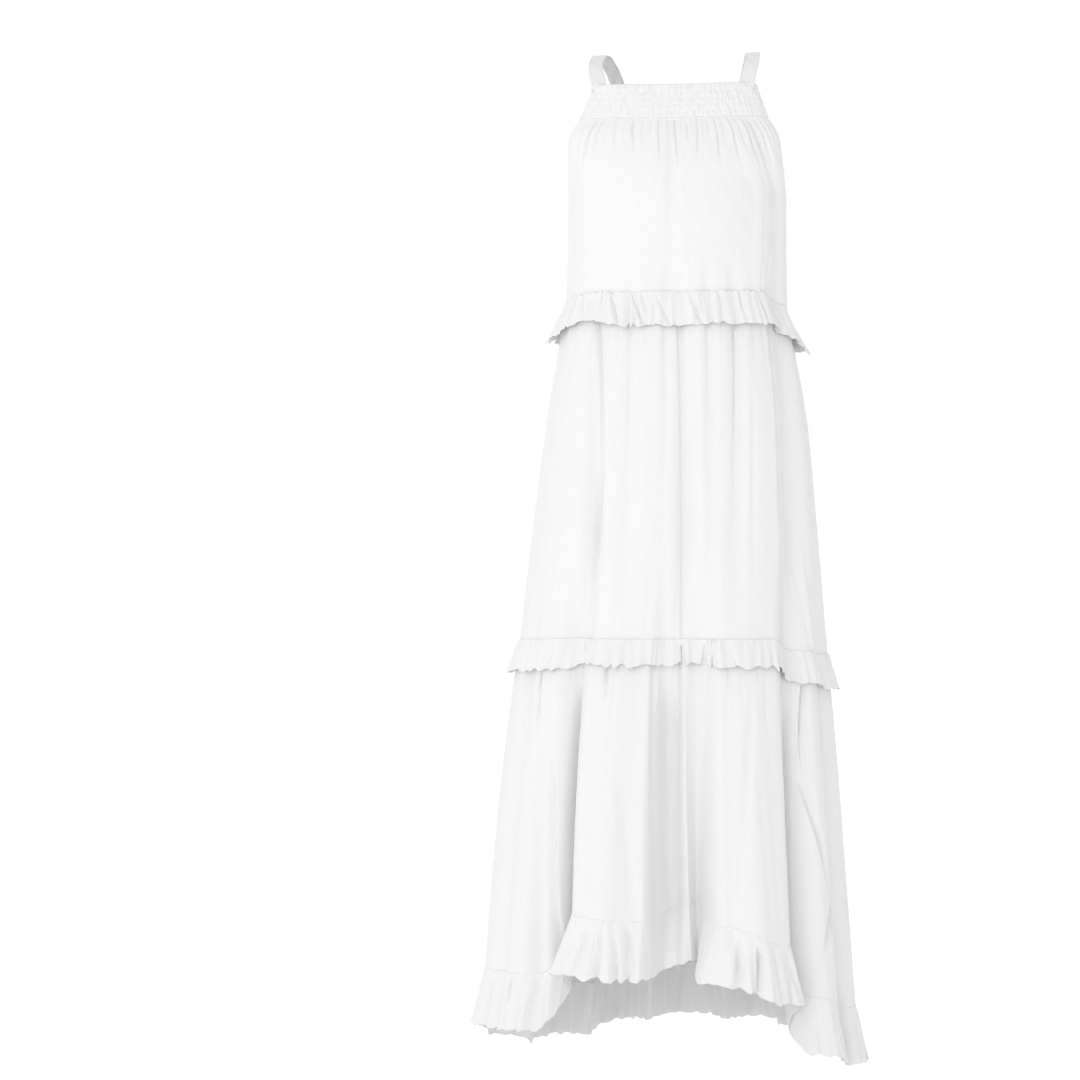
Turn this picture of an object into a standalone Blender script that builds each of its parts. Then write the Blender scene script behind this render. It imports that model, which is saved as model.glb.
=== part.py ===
"""A sleeveless tiered maxi dress, worn and hollow, in metres with +Z up.

The front faces -Y and the wearer's left is +X. The origin is midway between the shoulder straps, at the
height where their undersides rest on the shoulders. Every cloth panel is a thin wall whose outer face is
worked out from a short table of level sections, with folds, gathers and ruffle waves pushed into it.
"""

import math
from collections import namedtuple

import bmesh
import bpy
import numpy as np

# Cloth and seams
WALL = 0.0014
SEAM_GAP = 0.0003
RUFFLE_GAP = 0.0006

# Which way a panel faces
FRONT = -1
BACK = 1

# Heights of the main lines at the left side seam
BAND_TOP = -0.050
BAND_FOOT = -0.096
UNDERARM = -0.188
WAIST_SEAM = -0.356
KNEE_SEAM = -0.805
HEM_SEAM = -1.272

# Samples along one section when it is measured
ARC_SAMPLES = 721

# One level section of a panel: its height, half its width, how far back or forward it lies at the side and
# the centre, how square its corners are (2 is an ellipse), and how far it drifts to one side
Section = namedtuple("Section", "height half_width side_y centre_y square drift", defaults=(0.0,))

# How far a seam or edge is raised above its height at the left side seam, at one share across the panel
Lift = namedtuple("Lift", "share rise")

# One fold: its place across the panel at the top and the foot (0 to 1), its half width, its depth at the top
# and the foot, and how far it draws the cloth beside it into itself (0 to 1). A ridge has a negative depth
Fold = namedtuple("Fold", "top foot width depth_top depth_foot grip")

# Gathers that start at a panel's top seam: how many, how deep, and the share of the height where they end
Gathers = namedtuple("Gathers", "count depth reach")

# One panel of the bodice or of a tier
Panel = namedtuple("Panel", "name side sections top_line foot_line folds gathers columns levels")

# One ruffle: its waves, the depth it hangs, how far its free edge stands out at the centre and at the sides,
# the height of its waves, how far a wave's crest lifts the free edge, its columns for each column of its
# tier, and its levels
Ruffle = namedtuple("Ruffle", "name waves depth flare_centre flare_side wave scallop per_column levels")

PLAIN = Gathers(1, 0.0, 1.0)

# The seams and edges that run round the dress, from the right side (0) to the left side (1)
NECK_LINE = (
    Lift(0.00, 0.000),
    Lift(0.50, -0.003),
    Lift(1.00, 0.000),
)
WAIST_FRONT_LINE = (
    Lift(0.00, 0.017),
    Lift(0.10, 0.021),
    Lift(0.30, 0.026),
    Lift(0.78, 0.026),
    Lift(0.89, 0.013),
    Lift(0.96, 0.003),
    Lift(1.00, 0.000),
)
WAIST_BACK_LINE = (
    Lift(0.00, 0.017),
    Lift(0.20, 0.006),
    Lift(0.50, 0.000),
    Lift(1.00, 0.000),
)
KNEE_FRONT_LINE = (
    Lift(0.00, 0.019),
    Lift(0.10, 0.021),
    Lift(0.30, 0.025),
    Lift(0.72, 0.025),
    Lift(0.80, 0.009),
    Lift(0.92, 0.002),
    Lift(1.00, 0.000),
)
KNEE_BACK_LINE = (
    Lift(0.00, 0.019),
    Lift(0.20, 0.008),
    Lift(0.50, 0.000),
    Lift(1.00, 0.000),
)
HEM_FRONT_LINE = (
    Lift(0.00, 0.048),
    Lift(0.10, 0.052),
    Lift(0.26, 0.059),
    Lift(0.335, 0.140),
    Lift(0.47, 0.135),
    Lift(0.565, 0.155),
    Lift(0.60, 0.131),
    Lift(0.735, 0.101),
    Lift(0.80, 0.030),
    Lift(0.92, 0.006),
    Lift(1.00, 0.000),
)
HEM_BACK_LINE = (
    Lift(0.00, 0.048),
    Lift(0.10, 0.010),
    Lift(0.20, -0.010),
    Lift(0.30, -0.002),
    Lift(0.45, 0.021),
    Lift(0.78, 0.020),
    Lift(0.92, 0.004),
    Lift(1.00, 0.000),
)

BODICE_FRONT = Panel(
    "bodice_front",
    FRONT,
    (
        Section(BAND_FOOT - SEAM_GAP, 0.1250, -0.058, -0.100, 2.3),
        Section(-0.113, 0.1375, -0.057, -0.110, 2.3),
        Section(-0.138, 0.1415, -0.051, -0.118, 2.3, 0.001),
        Section(-0.164, 0.1435, -0.038, -0.125, 2.4, 0.002),
        Section(-0.181, 0.1450, -0.020, -0.128, 2.4, 0.002),
        Section(UNDERARM, 0.1455, -0.00015, -0.129, 2.4, 0.002),
        Section(-0.270, 0.1460, -0.00015, -0.131, 2.5, 0.002),
        Section(WAIST_SEAM + SEAM_GAP, 0.1480, -0.00015, -0.131, 2.5, 0.0015),
    ),
    NECK_LINE,
    WAIST_FRONT_LINE,
    (
        Fold(0.50, 0.50, 0.030, 0.0050, 0.0010, 0.2),
        Fold(0.78, 0.75, 0.045, -0.0010, -0.0040, 0.0),
        Fold(0.86, 0.85, 0.050, 0.0030, 0.0090, 0.2),
        Fold(0.12, 0.13, 0.050, 0.0010, 0.0040, 0.2),
    ),
    Gathers(16, 0.0050, 0.42),
    40,
    (0, 0.07, 0.16, 0.25, 0.315, 0.355, 0.42, 0.60, 0.80, 1),
)

BODICE_BACK = Panel(
    "bodice_back",
    BACK,
    (
        Section(BAND_FOOT - 0.008 - SEAM_GAP, 0.1210, 0.052, 0.090, 2.3),
        Section(-0.120, 0.1325, 0.051, 0.099, 2.3),
        Section(-0.142, 0.1380, 0.047, 0.105, 2.3, 0.001),
        Section(-0.166, 0.1425, 0.035, 0.110, 2.3, 0.002),
        Section(-0.182, 0.1450, 0.018, 0.112, 2.3, 0.002),
        Section(UNDERARM, 0.1455, 0.00015, 0.112, 2.3, 0.002),
        Section(-0.270, 0.1460, 0.00015, 0.108, 2.4, 0.002),
        Section(WAIST_SEAM + SEAM_GAP, 0.1480, 0.00015, 0.114, 2.4, 0.0015),
    ),
    NECK_LINE,
    WAIST_BACK_LINE,
    (
        Fold(0.30, 0.27, 0.050, 0.0010, 0.0060, 0.2),
        Fold(0.70, 0.74, 0.050, 0.0010, 0.0060, 0.2),
    ),
    Gathers(14, 0.0045, 0.40),
    36,
    (0, 0.07, 0.16, 0.25, 0.31, 0.335, 0.40, 0.60, 0.80, 1),
)

TIER_MID_FRONT = Panel(
    "tier_mid_front",
    FRONT,
    (
        Section(WAIST_SEAM, 0.1480, -0.00015, -0.131, 2.5, 0.0015),
        Section(-0.480, 0.1705, -0.00015, -0.150, 2.4, 0.003),
        Section(-0.640, 0.1890, -0.00015, -0.165, 2.4, 0.0),
        Section(KNEE_SEAM + SEAM_GAP, 0.2060, -0.00015, -0.176, 2.4, -0.003),
    ),
    WAIST_FRONT_LINE,
    KNEE_FRONT_LINE,
    (
        Fold(0.285, 0.345, 0.045, 0.0060, 0.0180, 0.4),
        Fold(0.385, 0.420, 0.035, 0.0030, 0.0040, 0.2),
        Fold(0.486, 0.490, 0.025, 0.0040, 0.0010, 0.0),
        Fold(0.522, 0.546, 0.045, 0.0060, 0.0170, 0.4),
        Fold(0.600, 0.590, 0.025, 0.0040, 0.0010, 0.0),
        Fold(0.678, 0.640, 0.035, 0.0050, 0.0030, 0.2),
        Fold(0.835, 0.805, 0.068, 0.0090, 0.0280, 0.4),
        Fold(0.120, 0.110, 0.060, 0.0020, 0.0070, 0.2),
    ),
    PLAIN,
    40,
    (0, 0.105, 0.25, 0.45, 0.70, 1),
)

TIER_MID_BACK = Panel(
    "tier_mid_back",
    BACK,
    (
        Section(WAIST_SEAM, 0.1480, 0.00015, 0.114, 2.4, 0.0015),
        Section(-0.480, 0.1705, 0.00015, 0.138, 2.3, 0.003),
        Section(-0.640, 0.1890, 0.00015, 0.152, 2.3, 0.0),
        Section(KNEE_SEAM + SEAM_GAP, 0.2060, 0.00015, 0.164, 2.3, -0.003),
    ),
    WAIST_BACK_LINE,
    KNEE_BACK_LINE,
    (
        Fold(0.200, 0.195, 0.060, 0.0040, 0.0180, 0.3),
        Fold(0.370, 0.380, 0.050, 0.0050, 0.0150, 0.3),
        Fold(0.570, 0.560, 0.055, 0.0040, 0.0200, 0.3),
        Fold(0.780, 0.790, 0.060, 0.0050, 0.0170, 0.3),
    ),
    PLAIN,
    40,
    (0, 0.105, 0.25, 0.45, 0.70, 1),
)

TIER_LOW_FRONT = Panel(
    "tier_low_front",
    FRONT,
    (
        Section(KNEE_SEAM, 0.2060, -0.00015, -0.176, 2.4, -0.003),
        Section(-0.950, 0.2220, -0.00015, -0.190, 2.3, -0.006),
        Section(-1.110, 0.2360, -0.00015, -0.202, 2.3, -0.008),
        Section(HEM_SEAM, 0.2480, -0.00015, -0.210, 2.3, -0.008),
    ),
    KNEE_FRONT_LINE,
    HEM_FRONT_LINE,
    (
        Fold(0.170, 0.165, 0.045, 0.0050, 0.0100, 0.2),
        Fold(0.303, 0.310, 0.048, 0.0170, 0.0480, 0.50),
        Fold(0.250, 0.262, 0.034, 0.0010, 0.0200, 0.20),
        Fold(0.400, 0.400, 0.050, -0.0020, -0.0140, 0.0),
        Fold(0.522, 0.522, 0.060, 0.0120, 0.0500, 0.10),
        Fold(0.490, 0.490, 0.024, 0.0040, 0.0160, 0.0),
        Fold(0.573, 0.572, 0.042, 0.0120, 0.0600, 0.6),
        Fold(0.670, 0.670, 0.055, -0.0020, -0.0140, 0.0),
        Fold(0.780, 0.770, 0.054, 0.0180, 0.0480, 0.50),
        Fold(0.885, 0.885, 0.042, 0.0060, 0.0160, 0.3),
    ),
    PLAIN,
    60,
    (0, 0.103, 0.20, 0.34, 0.50, 0.67, 0.84, 1),
)

TIER_LOW_BACK = Panel(
    "tier_low_back",
    BACK,
    (
        Section(KNEE_SEAM, 0.2060, 0.00015, 0.164, 2.3, -0.003),
        Section(-0.950, 0.2220, 0.00015, 0.175, 2.3, -0.006),
        Section(-1.110, 0.2360, 0.00015, 0.186, 2.3, -0.008),
        Section(HEM_SEAM, 0.2480, 0.00015, 0.196, 2.3, -0.008),
    ),
    KNEE_BACK_LINE,
    HEM_BACK_LINE,
    (
        Fold(0.160, 0.165, 0.060, 0.0080, 0.0380, 0.5),
        Fold(0.300, 0.310, 0.060, 0.0100, 0.0460, 0.5),
        Fold(0.450, 0.445, 0.065, 0.0100, 0.0520, 0.5),
        Fold(0.590, 0.600, 0.055, 0.0090, 0.0400, 0.5),
        Fold(0.725, 0.735, 0.060, 0.0100, 0.0500, 0.5),
        Fold(0.860, 0.850, 0.050, 0.0080, 0.0340, 0.5),
    ),
    PLAIN,
    60,
    (0, 0.103, 0.20, 0.34, 0.50, 0.67, 0.84, 1),
)

RUFFLE_WAIST = Ruffle("ruffle_waist", 15, 0.046, 0.003, 0.014, 0.012, 0.005, 2, (0, 1))
RUFFLE_MID = Ruffle("ruffle_mid", 20, 0.048, 0.003, 0.004, 0.012, 0.005, 2, (0, 1))
RUFFLE_HEM = Ruffle("ruffle_hem", 31, 0.076, 0.016, 0.012, 0.017, 0.005, 3, (0, 0.4, 1))

# How far the ruffle waves drift out of step, in waves, and how often they do so across a panel
Drift = namedtuple("Drift", "waves cycles")
WAVE_DRIFTS = (
    Drift(0.30, 5),
    Drift(0.22, 8),
)

# Where the front hem ruffle's free edge is drawn aside beside the deep folds, over what width, and how far
Spread = namedtuple("Spread", "share width x")
HEM_SPREADS = (
    Spread(0.350, 0.042, -0.016),
    Spread(0.602, 0.036, -0.014),
    Spread(0.730, 0.040, 0.006),
)
WAVE_SIZE_SPREAD = 0.20
WAVE_SIZE_CYCLES = 3
FLARE_POWER = 3
GATHER_FADE = 1.5

BAND_PUCKERS = 22
BAND_LINES = 5
BAND_RAISE = 0.0012
PUCKER_SPREAD = 0.8
BAND_FRONT_SECTIONS = (
    Section(BAND_TOP, 0.1065, -0.058, -0.0860, 2.3, 0.002),
    Section(BAND_FOOT, 0.1247, -0.058, -0.0998, 2.3),
)
BAND_BACK_SECTIONS = (
    Section(BAND_TOP - 0.010, 0.1020, 0.052, 0.0760, 2.3, 0.002),
    Section(BAND_FOOT - 0.008, 0.1207, 0.052, 0.0898, 2.3),
)

STRAP_WIDTH = 0.019
STRAP_THICK = 0.0016
STRAP_STATIONS = 17

# A strap's place at even steps along its arch, from the front band to the back band, and how much of the
# full height it has climbed there
StrapStep = namedtuple("StrapStep", "x climb")
STRAP_RIGHT_STEPS = (
    StrapStep(-0.0985, 0.00),
    StrapStep(-0.1040, 0.62),
    StrapStep(-0.0990, 1.00),
    StrapStep(-0.0860, 0.66),
    StrapStep(-0.0740, 0.00),
)
STRAP_LEFT_STEPS = (
    StrapStep(0.0975, 0.00),
    StrapStep(0.1030, 0.62),
    StrapStep(0.1030, 1.00),
    StrapStep(0.0960, 0.66),
    StrapStep(0.0860, 0.00),
)

COTTON = (0.90, 0.90, 0.895, 1)
SHARP_ANGLE = math.radians(50)


def curve(table, places, at):
    """Rows of a table, held at rising places, read at other places on a smooth curve through them."""
    slope = np.gradient(table, places, axis=0)
    k = np.clip(np.searchsorted(places, at, side="right") - 1, 0, len(places) - 2)
    step = (places[k + 1] - places[k])[:, None]
    t = (at - places[k])[:, None] / step
    return (
        (1 + 2 * t) * (1 - t) ** 2 * table[k]
        + t * (1 - t) ** 2 * step * slope[k]
        + t * t * (3 - 2 * t) * table[k + 1]
        + t * t * (t - 1) * step * slope[k + 1]
    )


def section_at(sections, v):
    """The section at share v of a panel's height, never outside the two rows of the table on either side."""
    table = np.array(sections, float)
    places = (table[:, 0] - table[0, 0]) / (table[-1, 0] - table[0, 0])
    k = min(np.searchsorted(places, v, side="right"), len(places) - 1)
    pair = table[k - 1 : k + 1]
    return Section(*np.clip(curve(table, places, np.array([v]))[0], pair.min(axis=0), pair.max(axis=0)))


def arc(section):
    """Points along one section, from the wearer's right side to the left."""
    angle = np.linspace(0, math.pi, ARC_SAMPLES)
    power = 2 / section.square
    x = -section.half_width * np.sign(np.cos(angle)) * np.abs(np.cos(angle)) ** power
    y = section.side_y + (section.centre_y - section.side_y) * np.abs(np.sin(angle)) ** power
    return np.stack([x + section.drift, y, np.full(ARC_SAMPLES, section.height)], axis=1)


def lengths(points):
    """The level distance along a run of points, from 0 at its start to 1 at its end."""
    run = np.linalg.norm(np.diff(points[:, :2], axis=0), axis=1)
    return np.concatenate([[0], np.cumsum(run)]) / run.sum()


def read(values, places, at):
    """Values held at rising places, read at other places on straight lines."""
    return np.stack([np.interp(at, places, values[:, k]) for k in range(values.shape[1])], axis=1)


def outward(points, side):
    """The level direction out of the garment at each point of a row, straight to the side at its ends."""
    run = np.gradient(points[:, :2], axis=0)
    normal = side * np.stack([-run[:, 1], run[:, 0], np.zeros(len(points))], axis=1)
    return normal / np.linalg.norm(normal, axis=1)[:, None]


def hump(t):
    """One smooth hump, 1 at 0 and 0 at -1 and 1."""
    return 0.5 + 0.5 * np.cos(math.pi * np.clip(t, -1, 1))


def rise(line, s):
    """How far a seam or edge is raised at shares s, on a curve that is level at each of its points."""
    share, height = np.array(line).T
    k = np.clip(np.searchsorted(share, s, side="right") - 1, 0, len(share) - 2)
    t = np.clip((s - share[k]) / (share[k + 1] - share[k]), 0, 1)
    return height[k] + (height[k + 1] - height[k]) * t * t * (3 - 2 * t)


def drape(panel, s, v):
    """How far folds and gathers draw the cloth sideways, as a share, and push it in, in metres."""
    shift = np.zeros(len(s))
    push = np.zeros(len(s))
    for fold in panel.folds:
        t = np.clip((s - fold.top - (fold.foot - fold.top) * v) / fold.width, -1, 1)
        push += (fold.depth_top + (fold.depth_foot - fold.depth_top) * v) * hump(t)
        shift -= fold.grip * v * fold.width * np.sin(math.pi * t) / math.pi
    gathers = panel.gathers
    fade = max(0.0, 1 - v / gathers.reach) ** GATHER_FADE
    push += gathers.depth * fade * (0.5 - 0.5 * np.cos(2 * math.pi * gathers.count * s))
    return shift, push


def panel_row(panel, s, v):
    """Points of a panel's outer face, and directions out of its section, at shares s across and v down."""
    base = arc(section_at(panel.sections, v))
    level = outward(base, panel.side)
    level[0] = (-1, 0, 0)
    level[-1] = (1, 0, 0)
    shift, push = drape(panel, s, v)
    place = lengths(base)
    normals = read(level, place, s + shift)
    points = read(base, place, s + shift) - push[:, None] * normals
    points[:, 2] += (1 - v) * rise(panel.top_line, s) + v * rise(panel.foot_line, s)
    return points, normals


def column_shares(panel):
    """Shares across a panel that divide its folded foot into equal widths of cloth."""
    s = np.linspace(0, 1, ARC_SAMPLES)
    points, _ = panel_row(panel, s, 1)
    return np.interp(np.linspace(0, 1, panel.columns + 1), lengths(points), s)


def thickened(row, side, distance):
    """The row moved level out of the garment by a distance, keeping the wall even at its corners."""
    run = np.diff(row[:, :2], axis=0)
    run /= np.linalg.norm(run, axis=1)[:, None]
    normal = side * np.stack([-run[:, 1], run[:, 0]], axis=1)
    miter = normal[:-1] + normal[1:]
    miter *= 2 / np.maximum((miter**2).sum(axis=1), 1.0)[:, None]
    moved = row.copy()
    moved[1:-1, :2] += distance * miter
    moved[0, 0] -= distance
    moved[-1, 0] += distance
    return moved


def zipped(first, second, at_first, at_second):
    """Triangles between two rows of vertex numbers, taking whichever share along the rows comes next."""
    faces = []
    i = 0
    j = 0
    while i < len(first) - 1 or j < len(second) - 1:
        first_left = i < len(first) - 1
        if first_left and (j == len(second) - 1 or at_first[i + 1] <= at_second[j + 1] + 1e-9):
            faces.append((first[i], second[j], first[i + 1]))
            i += 1
        else:
            faces.append((first[i], second[j], second[j + 1]))
            j += 1
    return faces


def cloth_material(name, roughness):
    """Plain white cotton."""
    made = bpy.data.materials.get(name) or bpy.data.materials.new(name)
    made.use_nodes = True
    shader = made.node_tree.nodes["Principled BSDF"]
    shader.inputs["Base Color"].default_value = COTTON
    shader.inputs["Roughness"].default_value = roughness
    shader.inputs["Metallic"].default_value = 0.0
    return made


def add_mesh(name, points, faces, material):
    """One closed object from its points and faces."""
    mesh = bpy.data.meshes.new(name)
    mesh.from_pydata([tuple(p) for p in points], [], faces)
    body = bmesh.new()
    body.from_mesh(mesh)
    bmesh.ops.recalc_face_normals(body, faces=body.faces)
    body.to_mesh(mesh)
    body.free()
    mesh.shade_smooth()
    mesh.set_sharp_from_angle(angle=SHARP_ANGLE)
    mesh.materials.append(material)
    made = bpy.data.objects.new(name, mesh)
    bpy.context.scene.collection.objects.link(made)
    return made


def wall(name, outer, inner, material):
    """A closed wall between two faces, each a list of (level, shares across, points) from top to foot."""
    points = []
    numbers = []
    faces = []
    for face in (outer, inner):
        rows = []
        for _, _, row in face:
            rows.append(list(range(len(points), len(points) + len(row))))
            points.extend(row)
        numbers.append(rows)
        for k in range(len(rows) - 1):
            faces += zipped(rows[k], rows[k + 1], face[k][1], face[k + 1][1])
    for end in (0, -1):
        faces += zipped(numbers[0][end], numbers[1][end], outer[end][1], inner[end][1])
        edges = [[row[end] for row in rows] for rows in numbers]
        faces += zipped(edges[0], edges[1], [r[0] for r in outer], [r[0] for r in inner])
    return add_mesh(name, points, faces, material)


def build_panel(panel, below, material):
    """One panel of the bodice or of a tier; its foot follows the top of the panel below, if there is one."""
    s = column_shares(panel)
    outer = [(v, s, panel_row(panel, s, v)[0]) for v in panel.levels]
    if below:
        s = column_shares(below)
        seam = panel_row(below, s, 0)[0]
        seam[:, 2] += SEAM_GAP
        outer[-1] = (1, s, seam)
    inner = [(v, s, thickened(row, panel.side, -WALL)) for v, s, row in outer]
    return wall(panel.name, outer, inner, material)


def finer(columns, per_column):
    """Column places with each column cut into equal parts."""
    whole = np.arange(len(columns))
    return np.interp(np.arange(per_column * (len(columns) - 1) + 1) / per_column, whole, columns)


def faceted_row(panel, s, v):
    """A row on the panel's flat facets at shares s, and its outward directions."""
    columns = column_shares(panel)
    return [read(a, columns, s) for a in panel_row(panel, columns, v)]


def wave(ruffle, count):
    """The ruffle's waves at its columns, 0 in a trough and up to 1 on a crest, unevenly spaced and sized."""
    t = np.linspace(0, 1, count)
    turn = ruffle.waves * t
    for drift in WAVE_DRIFTS:
        turn += drift.waves * np.sin(2 * math.pi * drift.cycles * t)
    size = 1 - WAVE_SIZE_SPREAD * (1 - np.sin(2 * math.pi * WAVE_SIZE_CYCLES * t + 1))
    return size * (0.5 - 0.5 * np.cos(2 * math.pi * turn))


def flare(ruffle, s):
    """How far the ruffle's free edge stands out, more at the sides than at the centre."""
    return ruffle.flare_centre + (ruffle.flare_side - ruffle.flare_centre) * np.abs(2 * s - 1) ** FLARE_POWER


def build_hanging_ruffle(ruffle, tier, suffix, material):
    """A ruffle that is sewn into the seam at a tier's top and hangs over that tier, clear of it."""
    height = tier.sections[0].height - tier.sections[-1].height
    inner = []
    for level in ruffle.levels:
        s = finer(column_shares(tier), ruffle.per_column if level else 1)
        crest = wave(ruffle, len(s))
        row, normals = faceted_row(tier, s, level * ruffle.depth / height)
        out = RUFFLE_GAP + level * (flare(ruffle, s) + ruffle.wave * crest)
        row += out[:, None] * normals
        row[:, 2] += level * ruffle.scallop * crest
        inner.append((level, s, row))
    outer = [(level, s, thickened(row, tier.side, WALL)) for level, s, row in inner]
    return wall(ruffle.name + suffix, outer, inner, material)


def build_edge_ruffle(ruffle, tier, suffix, material):
    """The ruffle that hangs free from a tier's foot, its waves lower on the steep walls of the folds."""
    outer = []
    for level in ruffle.levels:
        s = finer(column_shares(tier), ruffle.per_column if level else 1)
        crest = wave(ruffle, len(s))
        row, normals = faceted_row(tier, s, 1)
        facing = np.abs((outward(row, tier.side) * normals).sum(axis=1))
        out = level * (flare(ruffle, s) + ruffle.wave * (crest - 0.5) * facing)
        row += out[:, None] * normals
        if tier.side == FRONT:
            for spread in HEM_SPREADS:
                row[:, 0] += level * spread.x * hump((s - spread.share) / spread.width)
        row[:, 2] += level * (ruffle.scallop * crest - ruffle.depth) - SEAM_GAP
        outer.append((level, s, row))
    inner = [(level, s, thickened(row, tier.side, -WALL)) for level, s, row in outer]
    return wall(ruffle.name + suffix, outer, inner, material)


def build_band(name, side, sections, material):
    """The neck band, shirred on elastic lines: puckered puffs on its outer face over a plain inside."""
    s = np.linspace(0, 1, 2 * BAND_PUCKERS + 1)
    outer = []
    for k in range(2 * BAND_LINES + 1):
        v = k / (2 * BAND_LINES)
        base = arc(section_at(sections, v))
        puff = abs(math.sin(math.pi * BAND_LINES * v))
        swap = math.pi * (k // 2 % 2)
        raised = BAND_RAISE * puff * (1 + PUCKER_SPREAD * np.cos(2 * math.pi * BAND_PUCKERS * s + swap))
        raised[[0, -1]] = 0
        points = read(base, lengths(base), s)
        points[:, 2] += rise(NECK_LINE, s)
        outer.append((v, s, points + raised[:, None] * outward(points, side)))
    inner = []
    plain = np.linspace(0, 1, BAND_PUCKERS // 2 + 1)
    for v in (0, 1):
        base = arc(section_at(sections, v))
        points = read(base, lengths(base), plain)
        points[:, 2] += rise(NECK_LINE, plain)
        inner.append((v, plain, thickened(points, side, -WALL)))
    return wall(name, outer, inner, material)


def band_top(sections, x):
    """The point at this width on the middle of a band's top edge."""
    base = arc(sections[0])
    s = np.interp(x, base[:, 0], lengths(base))
    point = read(base, lengths(base), [s])[0]
    return point + (0, 0, rise(NECK_LINE, np.array([s]))[0])


def build_strap(name, steps, material):
    """A flat strap that arches over the shoulder, its ends standing on the top edges of the two bands."""
    start = band_top(BAND_FRONT_SECTIONS, steps[0].x) + (0, WALL / 2, SEAM_GAP)
    end = band_top(BAND_BACK_SECTIONS, steps[-1].x) + (0, -WALL / 2, SEAM_GAP)
    share = np.linspace(0, 1, len(steps))
    foot = start[2] + (end[2] - start[2]) * share
    table = np.zeros((len(steps), 3))
    table[:, 0] = [step.x for step in steps]
    table[:, 1] = start[1] + (end[1] - start[1]) * (0.5 - 0.5 * np.cos(math.pi * share))
    table[:, 2] = foot + (STRAP_THICK / 2 - foot) * [step.climb for step in steps]
    line = curve(table, share, np.linspace(0, 1, STRAP_STATIONS))
    line[:, 2] = np.minimum(line[:, 2], STRAP_THICK / 2)
    run = np.gradient(line, axis=0)
    run[0] = (0, 0, 1)
    run[-1] = (0, 0, -1)
    run /= np.linalg.norm(run, axis=1)[:, None]
    across = np.tile(np.array([1.0, 0.0, 0.0]), (STRAP_STATIONS, 1))
    across -= (across * run).sum(axis=1)[:, None] * run
    across /= np.linalg.norm(across, axis=1)[:, None]
    up = np.cross(across, run)
    corners = []
    for a, b in ((-1, -1), (1, -1), (1, 1), (-1, 1)):
        corners.append(line + a * STRAP_WIDTH / 2 * across + b * STRAP_THICK / 2 * up)
    ring = np.stack(corners, axis=1).reshape(-1, 3)
    faces = []
    for k in range(STRAP_STATIONS - 1):
        for c in range(4):
            d = (c + 1) % 4
            faces.append((4 * k + c, 4 * k + d, 4 * k + 4 + d, 4 * k + 4 + c))
    last = 4 * (STRAP_STATIONS - 1)
    faces += [(3, 2, 1, 0), (last, last + 1, last + 2, last + 3)]
    return add_mesh(name, ring, faces, material)


def main():
    for old in list(bpy.data.objects):
        bpy.data.objects.remove(old, do_unlink=True)
    cloth = cloth_material("cotton", 0.85)
    ruffles = cloth_material("cotton_ruffle", 0.85)
    shirred = cloth_material("cotton_shirred", 0.9)
    strap = cloth_material("cotton_strap", 0.85)
    front = ("_front", BODICE_FRONT, TIER_MID_FRONT, TIER_LOW_FRONT)
    back = ("_back", BODICE_BACK, TIER_MID_BACK, TIER_LOW_BACK)
    for suffix, bodice, mid, low in (front, back):
        build_panel(bodice, mid, cloth)
        build_panel(mid, low, cloth)
        build_panel(low, None, cloth)
        build_hanging_ruffle(RUFFLE_WAIST, mid, suffix, ruffles)
        build_hanging_ruffle(RUFFLE_MID, low, suffix, ruffles)
        build_edge_ruffle(RUFFLE_HEM, low, suffix, ruffles)
    build_band("neck_band_front", FRONT, BAND_FRONT_SECTIONS, shirred)
    build_band("neck_band_back", BACK, BAND_BACK_SECTIONS, shirred)
    build_strap("strap_right", STRAP_RIGHT_STEPS, strap)
    build_strap("strap_left", STRAP_LEFT_STEPS, strap)


main()
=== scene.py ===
"""The looks of a white sleeveless tiered maxi dress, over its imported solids, in metres with +Z up.

Each cloth piece is a thin shell on the form of its solid, worked out from the same tables of level sections
and folds, with the creases, gathers, shirring and hems of the real cloth added in its own sizes.
"""

import math
from collections import namedtuple

import bpy
import numpy as np
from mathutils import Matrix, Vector


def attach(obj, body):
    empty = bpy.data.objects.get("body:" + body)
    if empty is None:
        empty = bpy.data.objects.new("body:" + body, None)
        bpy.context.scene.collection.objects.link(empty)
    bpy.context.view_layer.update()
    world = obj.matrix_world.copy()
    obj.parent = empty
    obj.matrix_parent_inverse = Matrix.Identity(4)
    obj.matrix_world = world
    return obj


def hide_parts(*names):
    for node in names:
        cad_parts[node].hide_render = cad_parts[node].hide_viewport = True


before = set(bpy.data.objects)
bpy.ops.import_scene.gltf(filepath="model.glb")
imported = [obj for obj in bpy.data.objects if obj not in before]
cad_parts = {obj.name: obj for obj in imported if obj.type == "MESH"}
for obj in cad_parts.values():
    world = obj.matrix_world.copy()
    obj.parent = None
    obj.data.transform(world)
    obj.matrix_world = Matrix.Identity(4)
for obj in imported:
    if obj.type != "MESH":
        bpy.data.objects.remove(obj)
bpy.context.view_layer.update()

# The cloth, the gap at its seams, and how far front and back lie from their side seam
WALL = 0.0014
SEAM_GAP = 0.0003
SIDE_GAP = SEAM_GAP / 2

# Which way a panel faces
FRONT = -1
BACK = 1

# Heights of the main lines at the left side seam
BAND_TOP = -0.050
BAND_FOOT = -0.096
BAND_BACK_FOOT = BAND_FOOT - 0.008
UNDERARM = -0.188
WAIST_SEAM = -0.356
KNEE_SEAM = -0.805
HEM_SEAM = -1.272

# Samples along one section when it is measured
ARC_SAMPLES = 721

# One level section of a panel: its height, half its width, how far back or forward it lies at the side and
# the centre, how square its corners are (2 is an ellipse), and how far it drifts to one side
Section = namedtuple("Section", "height half_width side_y centre_y square drift", defaults=(0.0,))

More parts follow.
